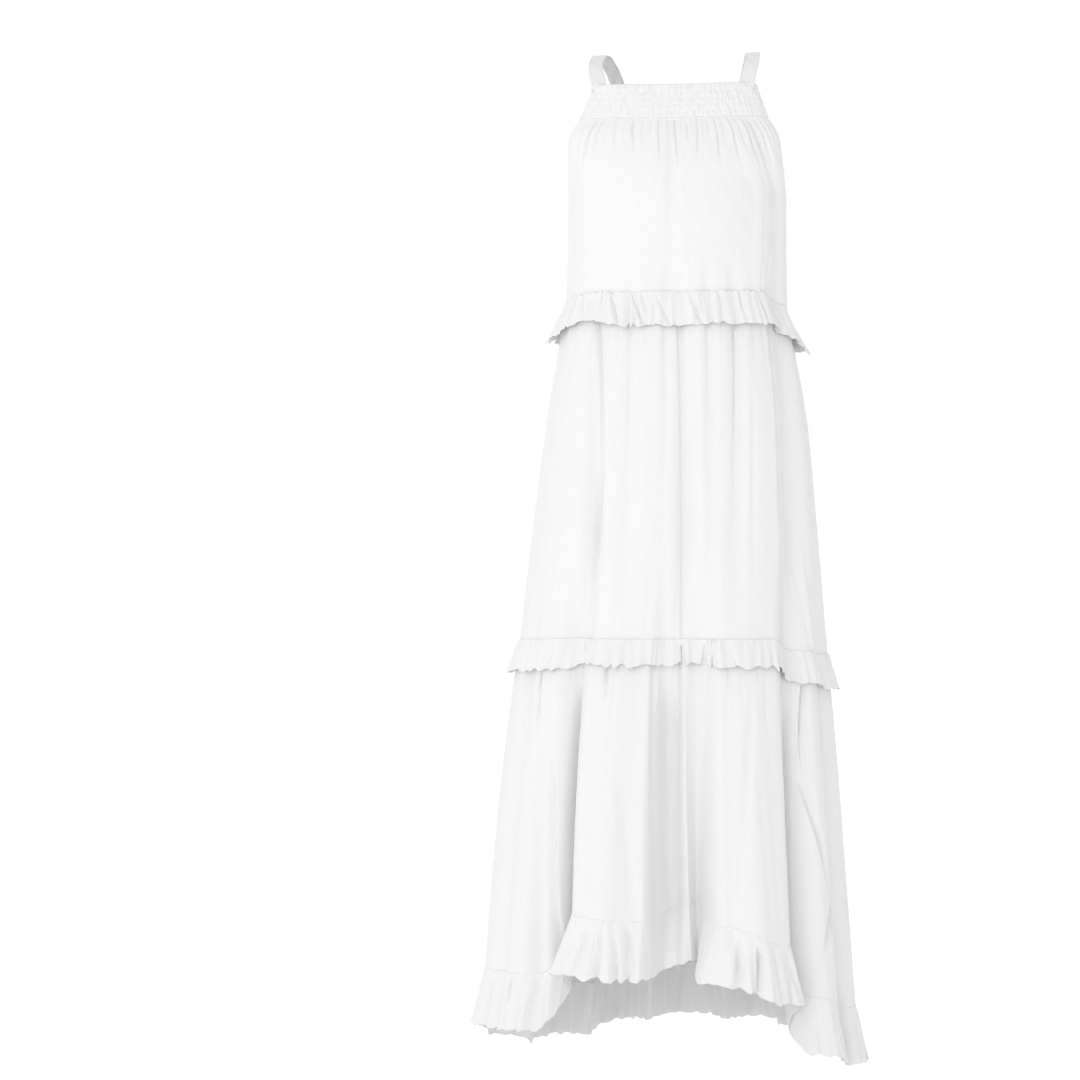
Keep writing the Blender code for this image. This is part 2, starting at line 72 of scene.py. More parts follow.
# How far a seam or edge is raised above its height at the left side seam, at one share across the panel
Lift = namedtuple("Lift", "share rise")

# One fold: its place across the panel at the top and the foot (0 to 1), its half width, its depth at the top
# and the foot, and how far it draws the cloth beside it into itself (0 to 1). A ridge has a negative depth
Fold = namedtuple("Fold", "top foot width depth_top depth_foot grip")

# Gathers that start at a panel's top seam: how many, how deep, and the share of the height where they end
Gathers = namedtuple("Gathers", "count depth reach")

# One panel of the bodice or of a tier. From the share join of its height down it eases to the panel below
Panel = namedtuple("Panel", "side sections top_line foot_line folds gathers join")

# One ruffle: its waves, the depth it hangs, how far its free edge stands out at the centre and at the sides,
# the height of its waves, and how far the free edge rises between two crests
Ruffle = namedtuple("Ruffle", "name waves depth flare_centre flare_side wave scallop")

PLAIN = Gathers(1, 0.0, 1.0)

PER_CENT = 0.01
MILLIMETRE = 0.001


def lifts(*pairs):
    """Lifts from pairs of a place across in per cent and a rise in millimetres."""
    return [Lift(PER_CENT * share, MILLIMETRE * rise) for share, rise in pairs]


def folds(*rows):
    """Folds from rows: places and grip in per cent, width and depths in millimetres."""
    units = (PER_CENT, PER_CENT, MILLIMETRE, MILLIMETRE, MILLIMETRE, PER_CENT)
    return tuple(Fold(*(size * unit for size, unit in zip(row, units))) for row in rows)


# The seams and edges that run round the dress, from the right side (0) to the left side (1)
NECK_LINE = lifts((0, 0), (50, -3), (100, 0))
WAIST_FRONT_LINE = lifts((0, 17), (10, 21), (30, 26), (78, 26), (89, 13), (96, 3), (100, 0))
WAIST_BACK_LINE = lifts((0, 17), (20, 6), (50, 0), (100, 0))
KNEE_FRONT_LINE = lifts((0, 19), (10, 21), (30, 25), (72, 25), (80, 9), (92, 2), (100, 0))
KNEE_BACK_LINE = lifts((0, 19), (20, 8), (50, 0), (100, 0))
HEM_FRONT_LINE = lifts(
    (0, 48), (10, 52), (26, 59), (33.5, 140), (47, 135), (56.5, 155), (60, 131), (73.5, 101), (80, 30),
    (92, 6), (100, 0),
)
HEM_BACK_LINE = lifts((0, 48), (10, 10), (20, -10), (30, -2), (45, 21), (78, 20), (92, 4), (100, 0))

BODICE_FRONT = Panel(
    FRONT,
    (
        Section(BAND_FOOT - SEAM_GAP, 0.125, -0.058, -0.1, 2.3),
        Section(-0.113, 0.1375, -0.057, -0.11, 2.3),
        Section(-0.138, 0.1415, -0.051, -0.118, 2.3, 0.001),
        Section(-0.164, 0.1435, -0.038, -0.125, 2.4, 0.002),
        Section(-0.181, 0.145, -0.02, -0.128, 2.4, 0.002),
        Section(UNDERARM, 0.1455, -SIDE_GAP, -0.129, 2.4, 0.002),
        Section(-0.27, 0.146, -SIDE_GAP, -0.131, 2.5, 0.002),
        Section(WAIST_SEAM + SEAM_GAP, 0.148, -SIDE_GAP, -0.131, 2.5, 0.0015),
    ),
    NECK_LINE,
    WAIST_FRONT_LINE,
    folds(
        (50, 50, 30, 5, 1, 20), (78, 75, 45, -1, -4, 0), (86, 85, 50, 3, 9, 20), (12, 13, 50, 1, 4, 20),
    ),
    Gathers(16, 0.0050, 0.42),
    0.8,
)

BODICE_BACK = Panel(
    BACK,
    (
        Section(BAND_BACK_FOOT - SEAM_GAP, 0.121, 0.052, 0.09, 2.3),
        Section(-0.12, 0.1325, 0.051, 0.099, 2.3),
        Section(-0.142, 0.138, 0.047, 0.105, 2.3, 0.001),
        Section(-0.166, 0.1425, 0.035, 0.11, 2.3, 0.002),
        Section(-0.182, 0.145, 0.018, 0.112, 2.3, 0.002),
        Section(UNDERARM, 0.1455, SIDE_GAP, 0.112, 2.3, 0.002),
        Section(-0.27, 0.146, SIDE_GAP, 0.108, 2.4, 0.002),
        Section(WAIST_SEAM + SEAM_GAP, 0.148, SIDE_GAP, 0.114, 2.4, 0.0015),
    ),
    NECK_LINE,
    WAIST_BACK_LINE,
    folds(
        (30, 27, 50, 1, 6, 20), (70, 74, 50, 1, 6, 20),
    ),
    Gathers(14, 0.0045, 0.40),
    0.8,
)

TIER_MID_FRONT = Panel(
    FRONT,
    (
        Section(WAIST_SEAM, 0.148, -SIDE_GAP, -0.131, 2.5, 0.0015),
        Section(-0.48, 0.1705, -SIDE_GAP, -0.15, 2.4, 0.003),
        Section(-0.64, 0.189, -SIDE_GAP, -0.165, 2.4, 0),
        Section(KNEE_SEAM + SEAM_GAP, 0.206, -SIDE_GAP, -0.176, 2.4, -0.003),
    ),
    WAIST_FRONT_LINE,
    KNEE_FRONT_LINE,
    folds(
        (28.5, 34.5, 45, 6, 18, 40), (38.5, 42, 35, 3, 4, 20), (48.6, 49, 25, 4, 1, 0),
        (52.2, 54.6, 45, 6, 17, 40), (60, 59, 25, 4, 1, 0), (67.8, 64, 35, 5, 3, 20),
        (83.5, 80.5, 68, 9, 28, 40), (12, 11, 60, 2, 7, 20),
    ),
    PLAIN,
    0.7,
)

TIER_MID_BACK = Panel(
    BACK,
    (
        Section(WAIST_SEAM, 0.148, SIDE_GAP, 0.114, 2.4, 0.0015),
        Section(-0.48, 0.1705, SIDE_GAP, 0.138, 2.3, 0.003),
        Section(-0.64, 0.189, SIDE_GAP, 0.152, 2.3, 0),
        Section(KNEE_SEAM + SEAM_GAP, 0.206, SIDE_GAP, 0.164, 2.3, -0.003),
    ),
    WAIST_BACK_LINE,
    KNEE_BACK_LINE,
    folds(
        (20, 19.5, 60, 4, 18, 30), (37, 38, 50, 5, 15, 30), (57, 56, 55, 4, 20, 30),
        (78, 79, 60, 5, 17, 30),
    ),
    PLAIN,
    0.7,
)

TIER_LOW_FRONT = Panel(
    FRONT,
    (
        Section(KNEE_SEAM, 0.206, -SIDE_GAP, -0.176, 2.4, -0.003),
        Section(-0.95, 0.222, -SIDE_GAP, -0.19, 2.3, -0.006),
        Section(-1.11, 0.236, -SIDE_GAP, -0.202, 2.3, -0.008),
        Section(HEM_SEAM, 0.248, -SIDE_GAP, -0.21, 2.3, -0.008),
    ),
    KNEE_FRONT_LINE,
    HEM_FRONT_LINE,
    folds(
        (17, 16.5, 45, 5, 10, 20), (30.3, 31, 48, 17, 48, 50), (25, 26.2, 34, 1, 20, 20),
        (40, 40, 50, -2, -14, 0), (52.2, 52.2, 60, 12, 50, 10), (49, 49, 24, 4, 16, 0),
        (57.3, 57.2, 42, 12, 60, 60), (67, 67, 55, -2, -14, 0), (78, 77, 54, 18, 48, 50),
        (88.5, 88.5, 42, 6, 16, 30),
    ),
    PLAIN,
    0.84,
)

TIER_LOW_BACK = Panel(
    BACK,
    (
        Section(KNEE_SEAM, 0.206, SIDE_GAP, 0.164, 2.3, -0.003),
        Section(-0.95, 0.222, SIDE_GAP, 0.175, 2.3, -0.006),
        Section(-1.11, 0.236, SIDE_GAP, 0.186, 2.3, -0.008),
        Section(HEM_SEAM, 0.248, SIDE_GAP, 0.196, 2.3, -0.008),
    ),
    KNEE_BACK_LINE,
    HEM_BACK_LINE,
    folds(
        (16, 16.5, 60, 8, 38, 50), (30, 31, 60, 10, 46, 50), (45, 44.5, 65, 10, 52, 50),
        (59, 60, 55, 9, 40, 50), (72.5, 73.5, 60, 10, 50, 50), (86, 85, 50, 8, 34, 50),
    ),
    PLAIN,
    0.84,
)

RUFFLE_WAIST = Ruffle("ruffle_waist", 15, 0.046, 0.003, 0.014, 0.012, 0.005)
RUFFLE_MID = Ruffle("ruffle_mid", 20, 0.048, 0.003, 0.004, 0.012, 0.005)
RUFFLE_HEM = Ruffle("ruffle_hem", 31, 0.076, 0.016, 0.012, 0.017, 0.005)

# How far the ruffle waves drift out of step, in waves, and how often they do so across a panel
Drift = namedtuple("Drift", "waves cycles")
WAVE_DRIFTS = (
    Drift(0.3, 5),
    Drift(0.22, 8),
)

# Where the front hem ruffle's free edge is drawn aside beside the deep folds, over what width, and how far
Spread = namedtuple("Spread", "share width x")
HEM_SPREADS = (
    Spread(0.35, 0.042, -0.016),
    Spread(0.602, 0.036, -0.014),
    Spread(0.73, 0.04, 0.006),
)

# How much a ruffle's waves differ in size, and how often that comes round
WAVE_SIZE_SPREAD = 0.20
WAVE_SIZE_CYCLES = 3

# How quickly a panel's gathers fade below its seam
GATHER_FADE = 1.5

# The shirred rows of the neck band, and its level sections
BAND_LINES = 5
BAND_FRONT_SECTIONS = (
    Section(BAND_TOP, 0.1065, -0.058, -0.086, 2.3, 0.002),
    Section(BAND_FOOT, 0.1247, -0.058, -0.0998, 2.3),
)
BAND_BACK_SECTIONS = (
    Section(BAND_TOP - 0.01, 0.102, 0.052, 0.076, 2.3, 0.002),
    Section(BAND_BACK_FOOT, 0.1207, 0.052, 0.0898, 2.3),
)

STRAP_WIDTH = 0.019
STRAP_THICK = 0.0016

# A strap's place at even steps along its arch, from the front band to the back band, and how much of the
# full height it has climbed there
StrapStep = namedtuple("StrapStep", "x climb")
STRAP_RIGHT_STEPS = (
    StrapStep(-0.0985, 0),
    StrapStep(-0.104, 0.62),
    StrapStep(-0.099, 1),
    StrapStep(-0.086, 0.66),
    StrapStep(-0.074, 0),
)
STRAP_LEFT_STEPS = (
    StrapStep(0.0975, 0),
    StrapStep(0.103, 0.62),
    StrapStep(0.103, 1),
    StrapStep(0.096, 0.66),
    StrapStep(0.086, 0),
)

# A shell's thickness, a ruffle shell's, and how far a hanging ruffle stands off the cloth under it
SHELL = 0.0009
RUFFLE_SHELL = 0.0007
RUFFLE_STAND = 0.0012

# How far from a seam the fine folds reach their full depth, and their share of it at a panel's top and foot;
# then the same for a ruffle
PLEAT_START = 0.0110
TOP_GROWTH = 0.08
FOOT_GROWTH = 0.12
RUFFLE_PLEAT_START = 0.0040
RUFFLE_GROWTH = 0.6

# How far below its band the bodice is drawn flat, how far up and down a panel's rows are evened out, and the
# greatest depth of the gathers drawn as even waves
FLAT_REACH = 0.0080
SOFTEN_REACH = 0.0180
LEAST_REACH = 1e-6
SOFT_GATHERS = 0.0022

# How sharply a ruffle's flare grows towards its sides, how blunt its crests are, less being blunter, and how
# quickly its waves grow from its seam
FLARE_POWER = 5
CREST_ROUNDNESS = 0.45
WAVE_GROWTH = 0.75

# One crease: its share across the panel and of the height where it starts and where it ends, its half width
# towards the right side and the left side, its depth, how far it bows aside between, and whether it starts
# at full depth though it starts below the seam
Crease = namedtuple("Crease", "s0 v0 s1 v1 right left depth bow seamed", defaults=(0, 0))


def creases(*rows):
    """Creases from rows: places and bow in per cent, half widths and depth in millimetres."""
    made = []
    for row in rows:
        places = [PER_CENT * share for share in row[:4]]
        sizes = [MILLIMETRE * size for size in row[4:7]]
        bow = [PER_CENT * share for share in row[7:8]]
        made.append(Crease(*places, *sizes, *bow, *row[8:]))
    return made


BODICE_FRONT_CREASES = creases(
    (7, 0, 8, 30, 4, 4, 1.6), (11, 0, 11.5, 24, 3, 4, 2), (15.2, 0, 15.7, 34, 3, 5, 3.6),
    (19.2, 0, 19.8, 28, 3, 5, 3), (22.2, 0, 24, 20, 3, 4, 1.4), (25.6, 0, 29.2, 24, 4, 5, 2.2),
    (29, 0, 31.8, 17, 3, 4, 1.4), (32.5, 0, 37.1, 25, 3, 4, 3.2), (37.2, 0, 39.2, 18, 3, 4, 1.4),
    (41, 0, 42, 16, 3, 3, 1.6), (44.3, 0, 46.2, 32, 3, 4, 3), (48.2, 0, 48.6, 12, 3, 3, 1.2),
    (51.2, 0, 52.2, 37, 3, 5, 4.4), (51.6, 20, 51.5, 97, 3, 4, 0.8), (54.1, 0, 54.3, 15, 3, 3, 1.4),
    (56.4, 0, 56.5, 18, 3, 4, 2.4), (61.4, 0, 58.6, 27, 3, 4, 2.8), (63.4, 0, 62, 19, 3, 3, 1.6),
    (66, 0, 64.5, 16, 3, 3, 1.2), (69, 0, 66.1, 33, 3, 5, 3.4), (72.2, 0, 70, 18, 3, 3, 1.4),
    (75.3, 0, 73.2, 32, 3, 4, 3.4), (78.2, 0, 77.5, 24, 3, 4, 2.2), (81.2, 0, 80.4, 36, 3, 5, 4.4),
    (83.6, 0, 84.8, 32, 3, 4, 3.6), (87.5, 0, 88, 28, 3, 4, 3.2), (90.2, 0, 90.5, 22, 3, 3, 2.2),
    (92.8, 0, 92.5, 24, 3, 4, 2.6), (75.2, 34, 73.8, 100, 12, 16, 1), (79.2, 34, 76.8, 100, 4, 6, 1.4),
    (82.6, 34, 80, 100, 3, 5, 1.8), (88.4, 38, 87, 100, 4, 6, 1.8), (6, 40, 6.2, 100, 6, 6, 1),
    (25, 72, 24.5, 100, 10, 10, 0.6), (64, 75, 64, 100, 10, 10, 0.6),
)
BODICE_BACK_CREASES = creases(
    (7, 0, 10, 40, 4, 5, 2.6), (12.5, 0, 15, 32, 4, 5, 3.2), (18, 0, 20, 38, 3, 5, 3),
    (23.5, 0, 24.5, 22, 3, 4, 2), (28, 0, 28.8, 30, 3, 5, 2.8), (33, 0, 33.4, 18, 3, 4, 1.6),
    (37.2, 0, 37.6, 34, 3, 5, 3.4), (42.5, 0, 42.4, 20, 3, 4, 1.8), (46.8, 0, 47, 28, 3, 4, 2.6),
    (51.5, 0, 51.2, 36, 3, 5, 3.6), (56, 0, 55.6, 20, 3, 4, 1.8), (60.5, 0, 59.8, 30, 3, 5, 3),
    (65.5, 0, 64.6, 22, 3, 4, 2.2), (70.5, 0, 69, 34, 3, 5, 3.6), (76, 0, 74.5, 24, 3, 4, 2.4),
    (81.5, 0, 80, 36, 3, 5, 3.6), (87, 0, 85, 32, 3, 5, 3.4), (92.5, 0, 90.5, 40, 4, 6, 2.8),
    (14, 50, 15, 100, 8, 8, 1.2), (46, 60, 45.5, 100, 10, 10, 1), (85, 45, 85.5, 100, 8, 8, 1.4),
)
TIER_MID_FRONT_CREASES = creases(
    (9, 0, 8.5, 60, 6, 7, 1.4), (15, 0, 14, 45, 5, 6, 1.2), (20.5, 0, 20, 30, 4, 5, 1),
    (26.6, 0, 33.8, 86, 10, 4, 6.4, 2.8), (33, 45, 33.8, 100, 14, 4, 6.4), (35.2, 0, 36.2, 30, 3, 4, 1),
    (37.9, 0, 40.8, 74, 4, 5, 1.8), (43, 0, 43.2, 24, 4, 4, 0.8), (47.7, 0, 49.1, 60, 6, 8, 1.6),
    (51.2, 0, 53.1, 100, 3, 13, 4.4), (56, 0, 56.2, 22, 4, 4, 0.8), (59.7, 0, 58.4, 42, 3, 5, 1.5),
    (64, 0, 63, 20, 4, 4, 1), (68.2, 0, 64.6, 70, 3, 5, 3.2, -1.2), (72.6, 0, 71.8, 25, 4, 4, 1.2),
    (70.4, 22, 68, 95, 5, 8, 1.8), (78.2, 0, 76, 100, 4, 22, 9, -0.6), (84.8, 0, 83.8, 50, 5, 6, 1.8),
    (84.6, 60, 85.2, 100, 12, 10, -3), (90, 0, 91.6, 80, 5, 8, 4), (21.5, 65, 22, 100, 10, 10, 1),
    (47, 70, 46.2, 100, 12, 12, 1.8), (60, 74, 60.5, 100, 12, 10, 1.4),
)
TIER_MID_BACK_CREASES = creases(
    (9, 0, 8, 50, 7, 7, 1.6), (14.5, 0, 13.5, 30, 5, 5, 1.2), (20.5, 0, 19.5, 100, 4, 12, 4.2, 1),
    (27, 0, 27.2, 40, 5, 5, 1.4), (33, 0, 32.5, 26, 4, 4, 1), (37.8, 0, 38.2, 85, 4, 10, 3.4, -0.8),
    (44, 0, 44, 40, 5, 6, 1.2), (50.5, 0, 50, 55, 5, 7, 1.8), (57.2, 0, 56.2, 100, 4, 12, 4.4, 0.8),
    (63.5, 0, 63.2, 35, 4, 5, 1.2), (70, 0, 70, 60, 5, 8, 1.8), (78.5, 0, 79.2, 100, 4, 12, 4, -0.6),
    (86, 0, 86.5, 40, 5, 6, 1.4), (92, 0, 92.5, 55, 6, 7, 1.6),
)
TIER_LOW_FRONT_CREASES = creases(
    (9, 0, 9.5, 60, 6, 8, 1.4), (15, 0, 15.5, 36, 4, 5, 1.4), (21.4, 0, 22.8, 34, 3, 6, 5),
    (19, 10, 18.2, 70, 7, 8, 1.2), (26.2, 24, 28.6, 100, 12, 5, 7), (31.8, 6, 30.4, 100, 24, 7, 20),
    (37.8, 0, 38.4, 26, 3, 6, 5), (40, 0, 39.8, 60, 6, 8, 1.2), (37.5, 30, 39.2, 100, 10, 8, 1.4),
    (41.8, 42, 45.8, 100, 16, 16, 2.6), (44, 0, 44.6, 34, 4, 4, 1.2), (47.2, 0, 48.4, 100, 4, 12, 7),
    (50.8, 6, 51.8, 100, 6, 6, -2.8), (52.7, 0, 53, 100, 5, 7, 5), (54, 6, 54.4, 100, 6, 5, -2.6),
    (62.8, 0, 62.2, 35, 4, 4, 1.2), (50.8, 5, 51.4, 100, 32, 30, 25), (78.2, 5, 77, 100, 14, 14, 12),
    (67.6, 12, 63.4, 94, 14, 12, 3), (65.2, 0, 65.5, 30, 4, 4, 1), (68, 40, 68.8, 100, 10, 12, 1.4),
    (70.5, 0, 70, 40, 5, 5, 1.2), (74.8, 0, 74.2, 100, 4, 10, 6), (82.4, 2, 81.2, 42, 5, 10, 11, -0.8),
    (80, 34, 85, 72, 6, 12, 11), (88, 60, 81.2, 92, 8, 10, 11), (85, 74, 90.5, 100, 6, 10, 9),
    (88, 0, 90, 50, 6, 6, 2), (93, 55, 94.5, 85, 5, 8, 7),
)
TIER_LOW_BACK_CREASES = creases(
    (8, 0, 8.5, 60, 6, 8, 2), (12, 0, 12.5, 100, 4, 10, 3.4), (20, 0, 20.5, 50, 5, 6, 1.8),
    (23, 20, 23.8, 100, 12, 10, 2), (26.2, 0, 26.8, 100, 10, 4, 3.6), (34.5, 0, 35.2, 70, 5, 7, 2.2),
    (37.8, 20, 38.2, 100, 12, 12, 1.8), (41, 0, 40.5, 100, 4, 10, 3.8), (49, 0, 49.2, 60, 5, 7, 2),
    (52.2, 20, 52.5, 100, 12, 12, 2), (55.6, 0, 56.6, 100, 10, 4, 3.8), (63.2, 0, 63.6, 55, 5, 6, 1.8),
    (66, 25, 66.8, 100, 12, 10, 1.8), (69.2, 0, 70, 100, 4, 10, 3.6), (76.5, 0, 77, 65, 5, 7, 2),
    (79.5, 20, 79, 100, 12, 12, 2), (82.8, 0, 82, 100, 10, 4, 3.4), (90, 0, 89.5, 60, 6, 7, 2),
)
RUFFLE_WAIST_CREASES = creases(
    (12, 0, 10, 90, 3, 6, 4), (19, 0, 18, 100, 3, 7, 5), (22, 0, 24.8, 90, 3, 6, 3.4),
    (29, 0, 28.4, 55, 3, 5, 3.4), (32.2, 5, 35.5, 100, 3, 7, 6, 0, 1), (38.5, 0, 42.5, 100, 3, 7, 5.6),
    (41.2, 5, 44, 80, 3, 5, 3, 0, 1), (45.5, 10, 49.5, 100, 3, 6, 3.6), (54.8, 0, 57.8, 100, 3, 8, 6),
    (63, 0, 64, 60, 3, 5, 2.6), (69.5, 0, 69.6, 90, 3, 6, 4), (75.5, 0, 76.5, 100, 3, 6, 3.6),
    (80, 0, 84.6, 100, 4, 8, 7), (90, 0, 92.5, 100, 3, 7, 5),
)
# How far the front waist ruffle's free edge and its rolled top lie off their even lines
WAIST_EDGE = lifts(
    (0, -3), (12, -2), (19, 3), (27, 8), (34, 4), (38, -1), (46, -3), (56, -3), (62, 1), (70, 4), (80, 4),
    (88, -1), (100, -3),
)
WAIST_TOP = lifts(
    (0, 0), (12, 0), (18, 2.4), (30, 2.2), (36, -1), (62, -1), (68, 1.8), (80, 2), (88, 0), (100, 0),
)
RUFFLE_MID_CREASES = creases(
    (32.2, 10, 32.2, 60, 4, 4, 3.6), (53.2, 20, 53.6, 100, 4, 6, 12), (58.5, 20, 58, 100, 6, 4, 11),
)
RUFFLE_HEM_CREASES = creases(
    (13, 4, 12.6, 100, 5, 9, 6), (17.2, 4, 17.6, 100, 5, 9, 7), (20.6, 4, 20.3, 60, 4, 8, 8),
    (25.2, 2, 24.6, 100, 5, 10, 10), (37.8, 6, 37.2, 100, 5, 10, 8), (40.4, 6, 39.6, 100, 5, 10, 7),
    (44.3, 6, 45.2, 100, 5, 10, 6), (47, 6, 48, 100, 5, 8, 6), (63.8, 5, 62.8, 100, 5, 10, 6),
    (66.4, 10, 66, 100, 4, 10, 12), (69.2, 4, 69.8, 100, 5, 10, 7), (71.8, 5, 73, 100, 5, 8, 6),
    (85, 5, 86.2, 100, 5, 10, 9), (90, 5, 90.5, 100, 5, 10, 8),
)

# Fine gathers that run out of a seam: their mean spacing, greatest depth and greatest length
Pleating = namedtuple("Pleating", "spacing depth length seed")

# One shell: the solid it stands for, its panel, its creases, its fine gathers at the top and the foot, and
# the size of one cell of its mesh across and down
Shell = namedtuple("Shell", "solid panel creases top_pleats foot_pleats cell_across cell_down")
SHELLS = (
    Shell(
        "bodice_front", BODICE_FRONT, BODICE_FRONT_CREASES,
        Pleating(0.0060, 0.0014, 0.045, 11), Pleating(0.0080, 0.0008, 0.022, 12), 0.0017, 0.0042,
    ),
    Shell(
        "bodice_back", BODICE_BACK, BODICE_BACK_CREASES,
        Pleating(0.0060, 0.0014, 0.045, 13), Pleating(0.0080, 0.0008, 0.022, 14), 0.0018, 0.0042,
    ),
    Shell(
        "tier_mid_front", TIER_MID_FRONT, TIER_MID_FRONT_CREASES,
        Pleating(0.0080, 0.0014, 0.150, 21), Pleating(0.0100, 0.0008, 0.030, 22), 0.0022, 0.0062,
    ),
    Shell(
        "tier_mid_back", TIER_MID_BACK, TIER_MID_BACK_CREASES,
        Pleating(0.0080, 0.0014, 0.150, 23), Pleating(0.0100, 0.0008, 0.030, 24), 0.0022, 0.0062,
    ),
    Shell(
        "tier_low_front", TIER_LOW_FRONT, TIER_LOW_FRONT_CREASES,
        Pleating(0.0090, 0.0016, 0.170, 31), Pleating(0.0110, 0.0008, 0.030, 32), 0.0026, 0.0068,
    ),
    Shell(
        "tier_low_back", TIER_LOW_BACK, TIER_LOW_BACK_CREASES,
        Pleating(0.0090, 0.0016, 0.170, 33), Pleating(0.0110, 0.0008, 0.030, 34), 0.0028, 0.0068,
    ),
)

# The share of a crease's length over which it deepens from its start, and over which it fades to its end
CREASE_ENTER = 0.30
CREASE_LEAVE = 0.55

# How fine gathers differ: their places about an even spacing, their depths, lengths and half widths, as
# shares of the greatest or of the spacing, how many are short, and how quickly they fade
PLEAT_PLACES = (0.15, 0.85)
PLEAT_DEPTHS = (0.3, 1.0)
PLEAT_LENGTHS = (0.15, 1.0)
PLEAT_HALVES = (0.35, 0.60)
PLEAT_LENGTH_POWER = 1.5
PLEAT_FADE = 1.3

# Soft unevenness of the cloth between its creases: its size, how many finer sizes it has, each half the
# last, the waves of each, and how they lean, differ in pitch, stretch and add up
RUMPLE_DEPTH = 0.0006
RUMPLE_WIDTH = 0.030
RUMPLE_HEIGHT = 0.110
RUMPLE_SIZES = 4
RUMPLE_WAVES = 3
RUMPLE_LEAN = 0.35
RUMPLE_PITCHES = (0.7, 1.3)
RUMPLE_STRETCH = 0.2
RUMPLE_SHARE = 0.3

# Places of the rows next to a piece's edges, in metres from the edge
EDGE_STEPS = (0.0012, 0.0024, 0.0036, 0.0050)

# How far in from a side seam the folds fade out, how deep the seam sinks and how wide its groove is
EDGE_EASE = 0.012
SEAM_SINK = 0.0006
SEAM_REACH = 0.0030

# The rolled edge of a ruffle: its half width, its height, and how many half widths up its middle lies
HEM_REACH = 0.0040
HEM_RAISE = 0.0005
HEM_MIDDLE = 0.5

# One pair of ruffles, front and back: its waves, the tier it goes with and whether it hangs over that
# tier, its fine pleats and creases, how far its waves lean aside at the free edge, in shares, and how
# often along the run, its smaller second waves and the size of one cell of its mesh
RuffleLook = namedtuple(
    "RuffleLook",
    "ruffle tier hanging pleats creases lean lean_cycles roll second second_waves cell_across cell_down",
)
RUFFLE_LOOKS = (
    RuffleLook(
        RUFFLE_WAIST, "tier_mid", 1, Pleating(0.0056, 0.0018, 0.046, 41), RUFFLE_WAIST_CREASES,
        0.018, 5, 0.0046, 0.0014, 37, 0.0014, 0.0032,
    ),
    RuffleLook(
        RUFFLE_MID, "tier_low", 1, Pleating(0.0060, 0.0018, 0.046, 42), RUFFLE_MID_CREASES,
        0.014, 6, 0.0024, 0.0014, 47, 0.0019, 0.0032,
    ),
    RuffleLook(
        RUFFLE_HEM, "tier_low", 0, Pleating(0.0066, 0.0018, 0.058, 43), RUFFLE_HEM_CREASES,
        0.008, 8, 0.0, 0.0012, 71, 0.0018, 0.0042,
    ),
)

# A second lean of a ruffle's waves, as a share of the first, and how its second waves drift out of step
LEAN_SHARE = 0.4
SECOND_DRIFT = 1.3
SECOND_DRIFT_CYCLES = 7

# The rows tucked behind a seam: how high they start and their shares of that, how far in they lie on a panel
# and on a hanging ruffle, and how far down that ruffle stands fully off
TUCK_UP = 0.0020
TUCK_STEPS = (1.0, 0.5)
TOP_TUCK_IN = 0.0026
TUCK_IN = 0.0012
STAND_REACH = 0.0032

# How much of its waves' height and of its rise between crests a hanging ruffle has, and the hem ruffle
WAVE_SHARE = 0.50
SCALLOP_SHARE = 1.2
HEM_WAVE_SHARE = 0.75
HEM_SCALLOP_SHARE = 0.8

# The hem ruffle: the share of a wave that lies on its tier's own line, its spread beside the deep folds,
# how far in its seam lies and how far down that fades, and how much of its tier's creases it has lost at
# its free edge
HEM_WAVE_REST = 0.6
HEM_SPREAD_SHARE = 1.5
HEM_TUCK_IN = 0.0008
HEM_TUCK_REACH = 0.0030
HEM_CREASE_LOSS = 0.4

# How a hanging ruffle rolls up over its seam: its rows, its least share of the roll, where it is highest
# and how closely it varies. Then how far every free edge wanders up and down, and how closely
ROLL_STEPS = (0.0, 0.0006, 0.0012, 0.0018, 0.0026, 0.0036, 0.0048)
ROLL_LEAST = 0.25
ROLL_PEAK = 0.0020
ROLL_FINENESS = 2.5
ROLL_SEED = 9
EDGE_LOBES = 0.0025
LOBE_FINENESS = 1.2
LOBE_SEED = 13

# Which panel each panel's foot meets
BELOW = {
    "bodice_front": "tier_mid_front",
    "bodice_back": "tier_mid_back",
    "tier_mid_front": "tier_low_front",
    "tier_mid_back": "tier_low_back",
}

# The puckers of a shirred row: how many, their places about an even spacing and how far they stray from
# row to row, their greatest depth and mean half width with the shares of each, how far up and down they
# reach in rows, and their least share on an elastic line
PUCKERS = 64
PUCKER_PLACES = (0.2, 0.8)
PUCKER_STRAY = 0.22
PUCKER_DEPTH = 0.0022
PUCKER_DEPTHS = (0.25, 1.0)
PUCKER_HALF = 0.0026
PUCKER_HALVES = (0.6, 1.3)
PUCKER_REACH = 0.85
PUCKER_LEAST = 0.35

# How far the band puffs between its elastic lines and how full that is, its own unevenness, how far in
# from its ends the puckers fade, and the size of one cell of its mesh
BAND_PUFF = 0.0012
BAND_PUFF_POWER = 0.8
BAND_SWELL = 0.0003
BAND_SWELL_FINENESS = 3
BAND_EASE = 0.006
BAND_CELL = 0.0012

# Which random puckers each band has
BAND_FRONT_SEED = 51
BAND_BACK_SEED = 52

# A strap: its rows and columns, how far its ends are tucked into the bands, how far its middle bulges, its
# slight ripple, and its stitched edges
STRAP_ROWS = 80
STRAP_COLUMNS = 17
STRAP_TUCK_IN = 0.0013
STRAP_TUCK_DOWN = 0.010
STRAP_BULGE = 0.0006
RIPPLE = 0.0003
RIPPLE_LENGTH = 0.031
RIPPLE_LEAN = 0.6
STITCH_RAISE = 0.0005
STITCH_PLACE = 0.86
STITCH_HALF = 0.12

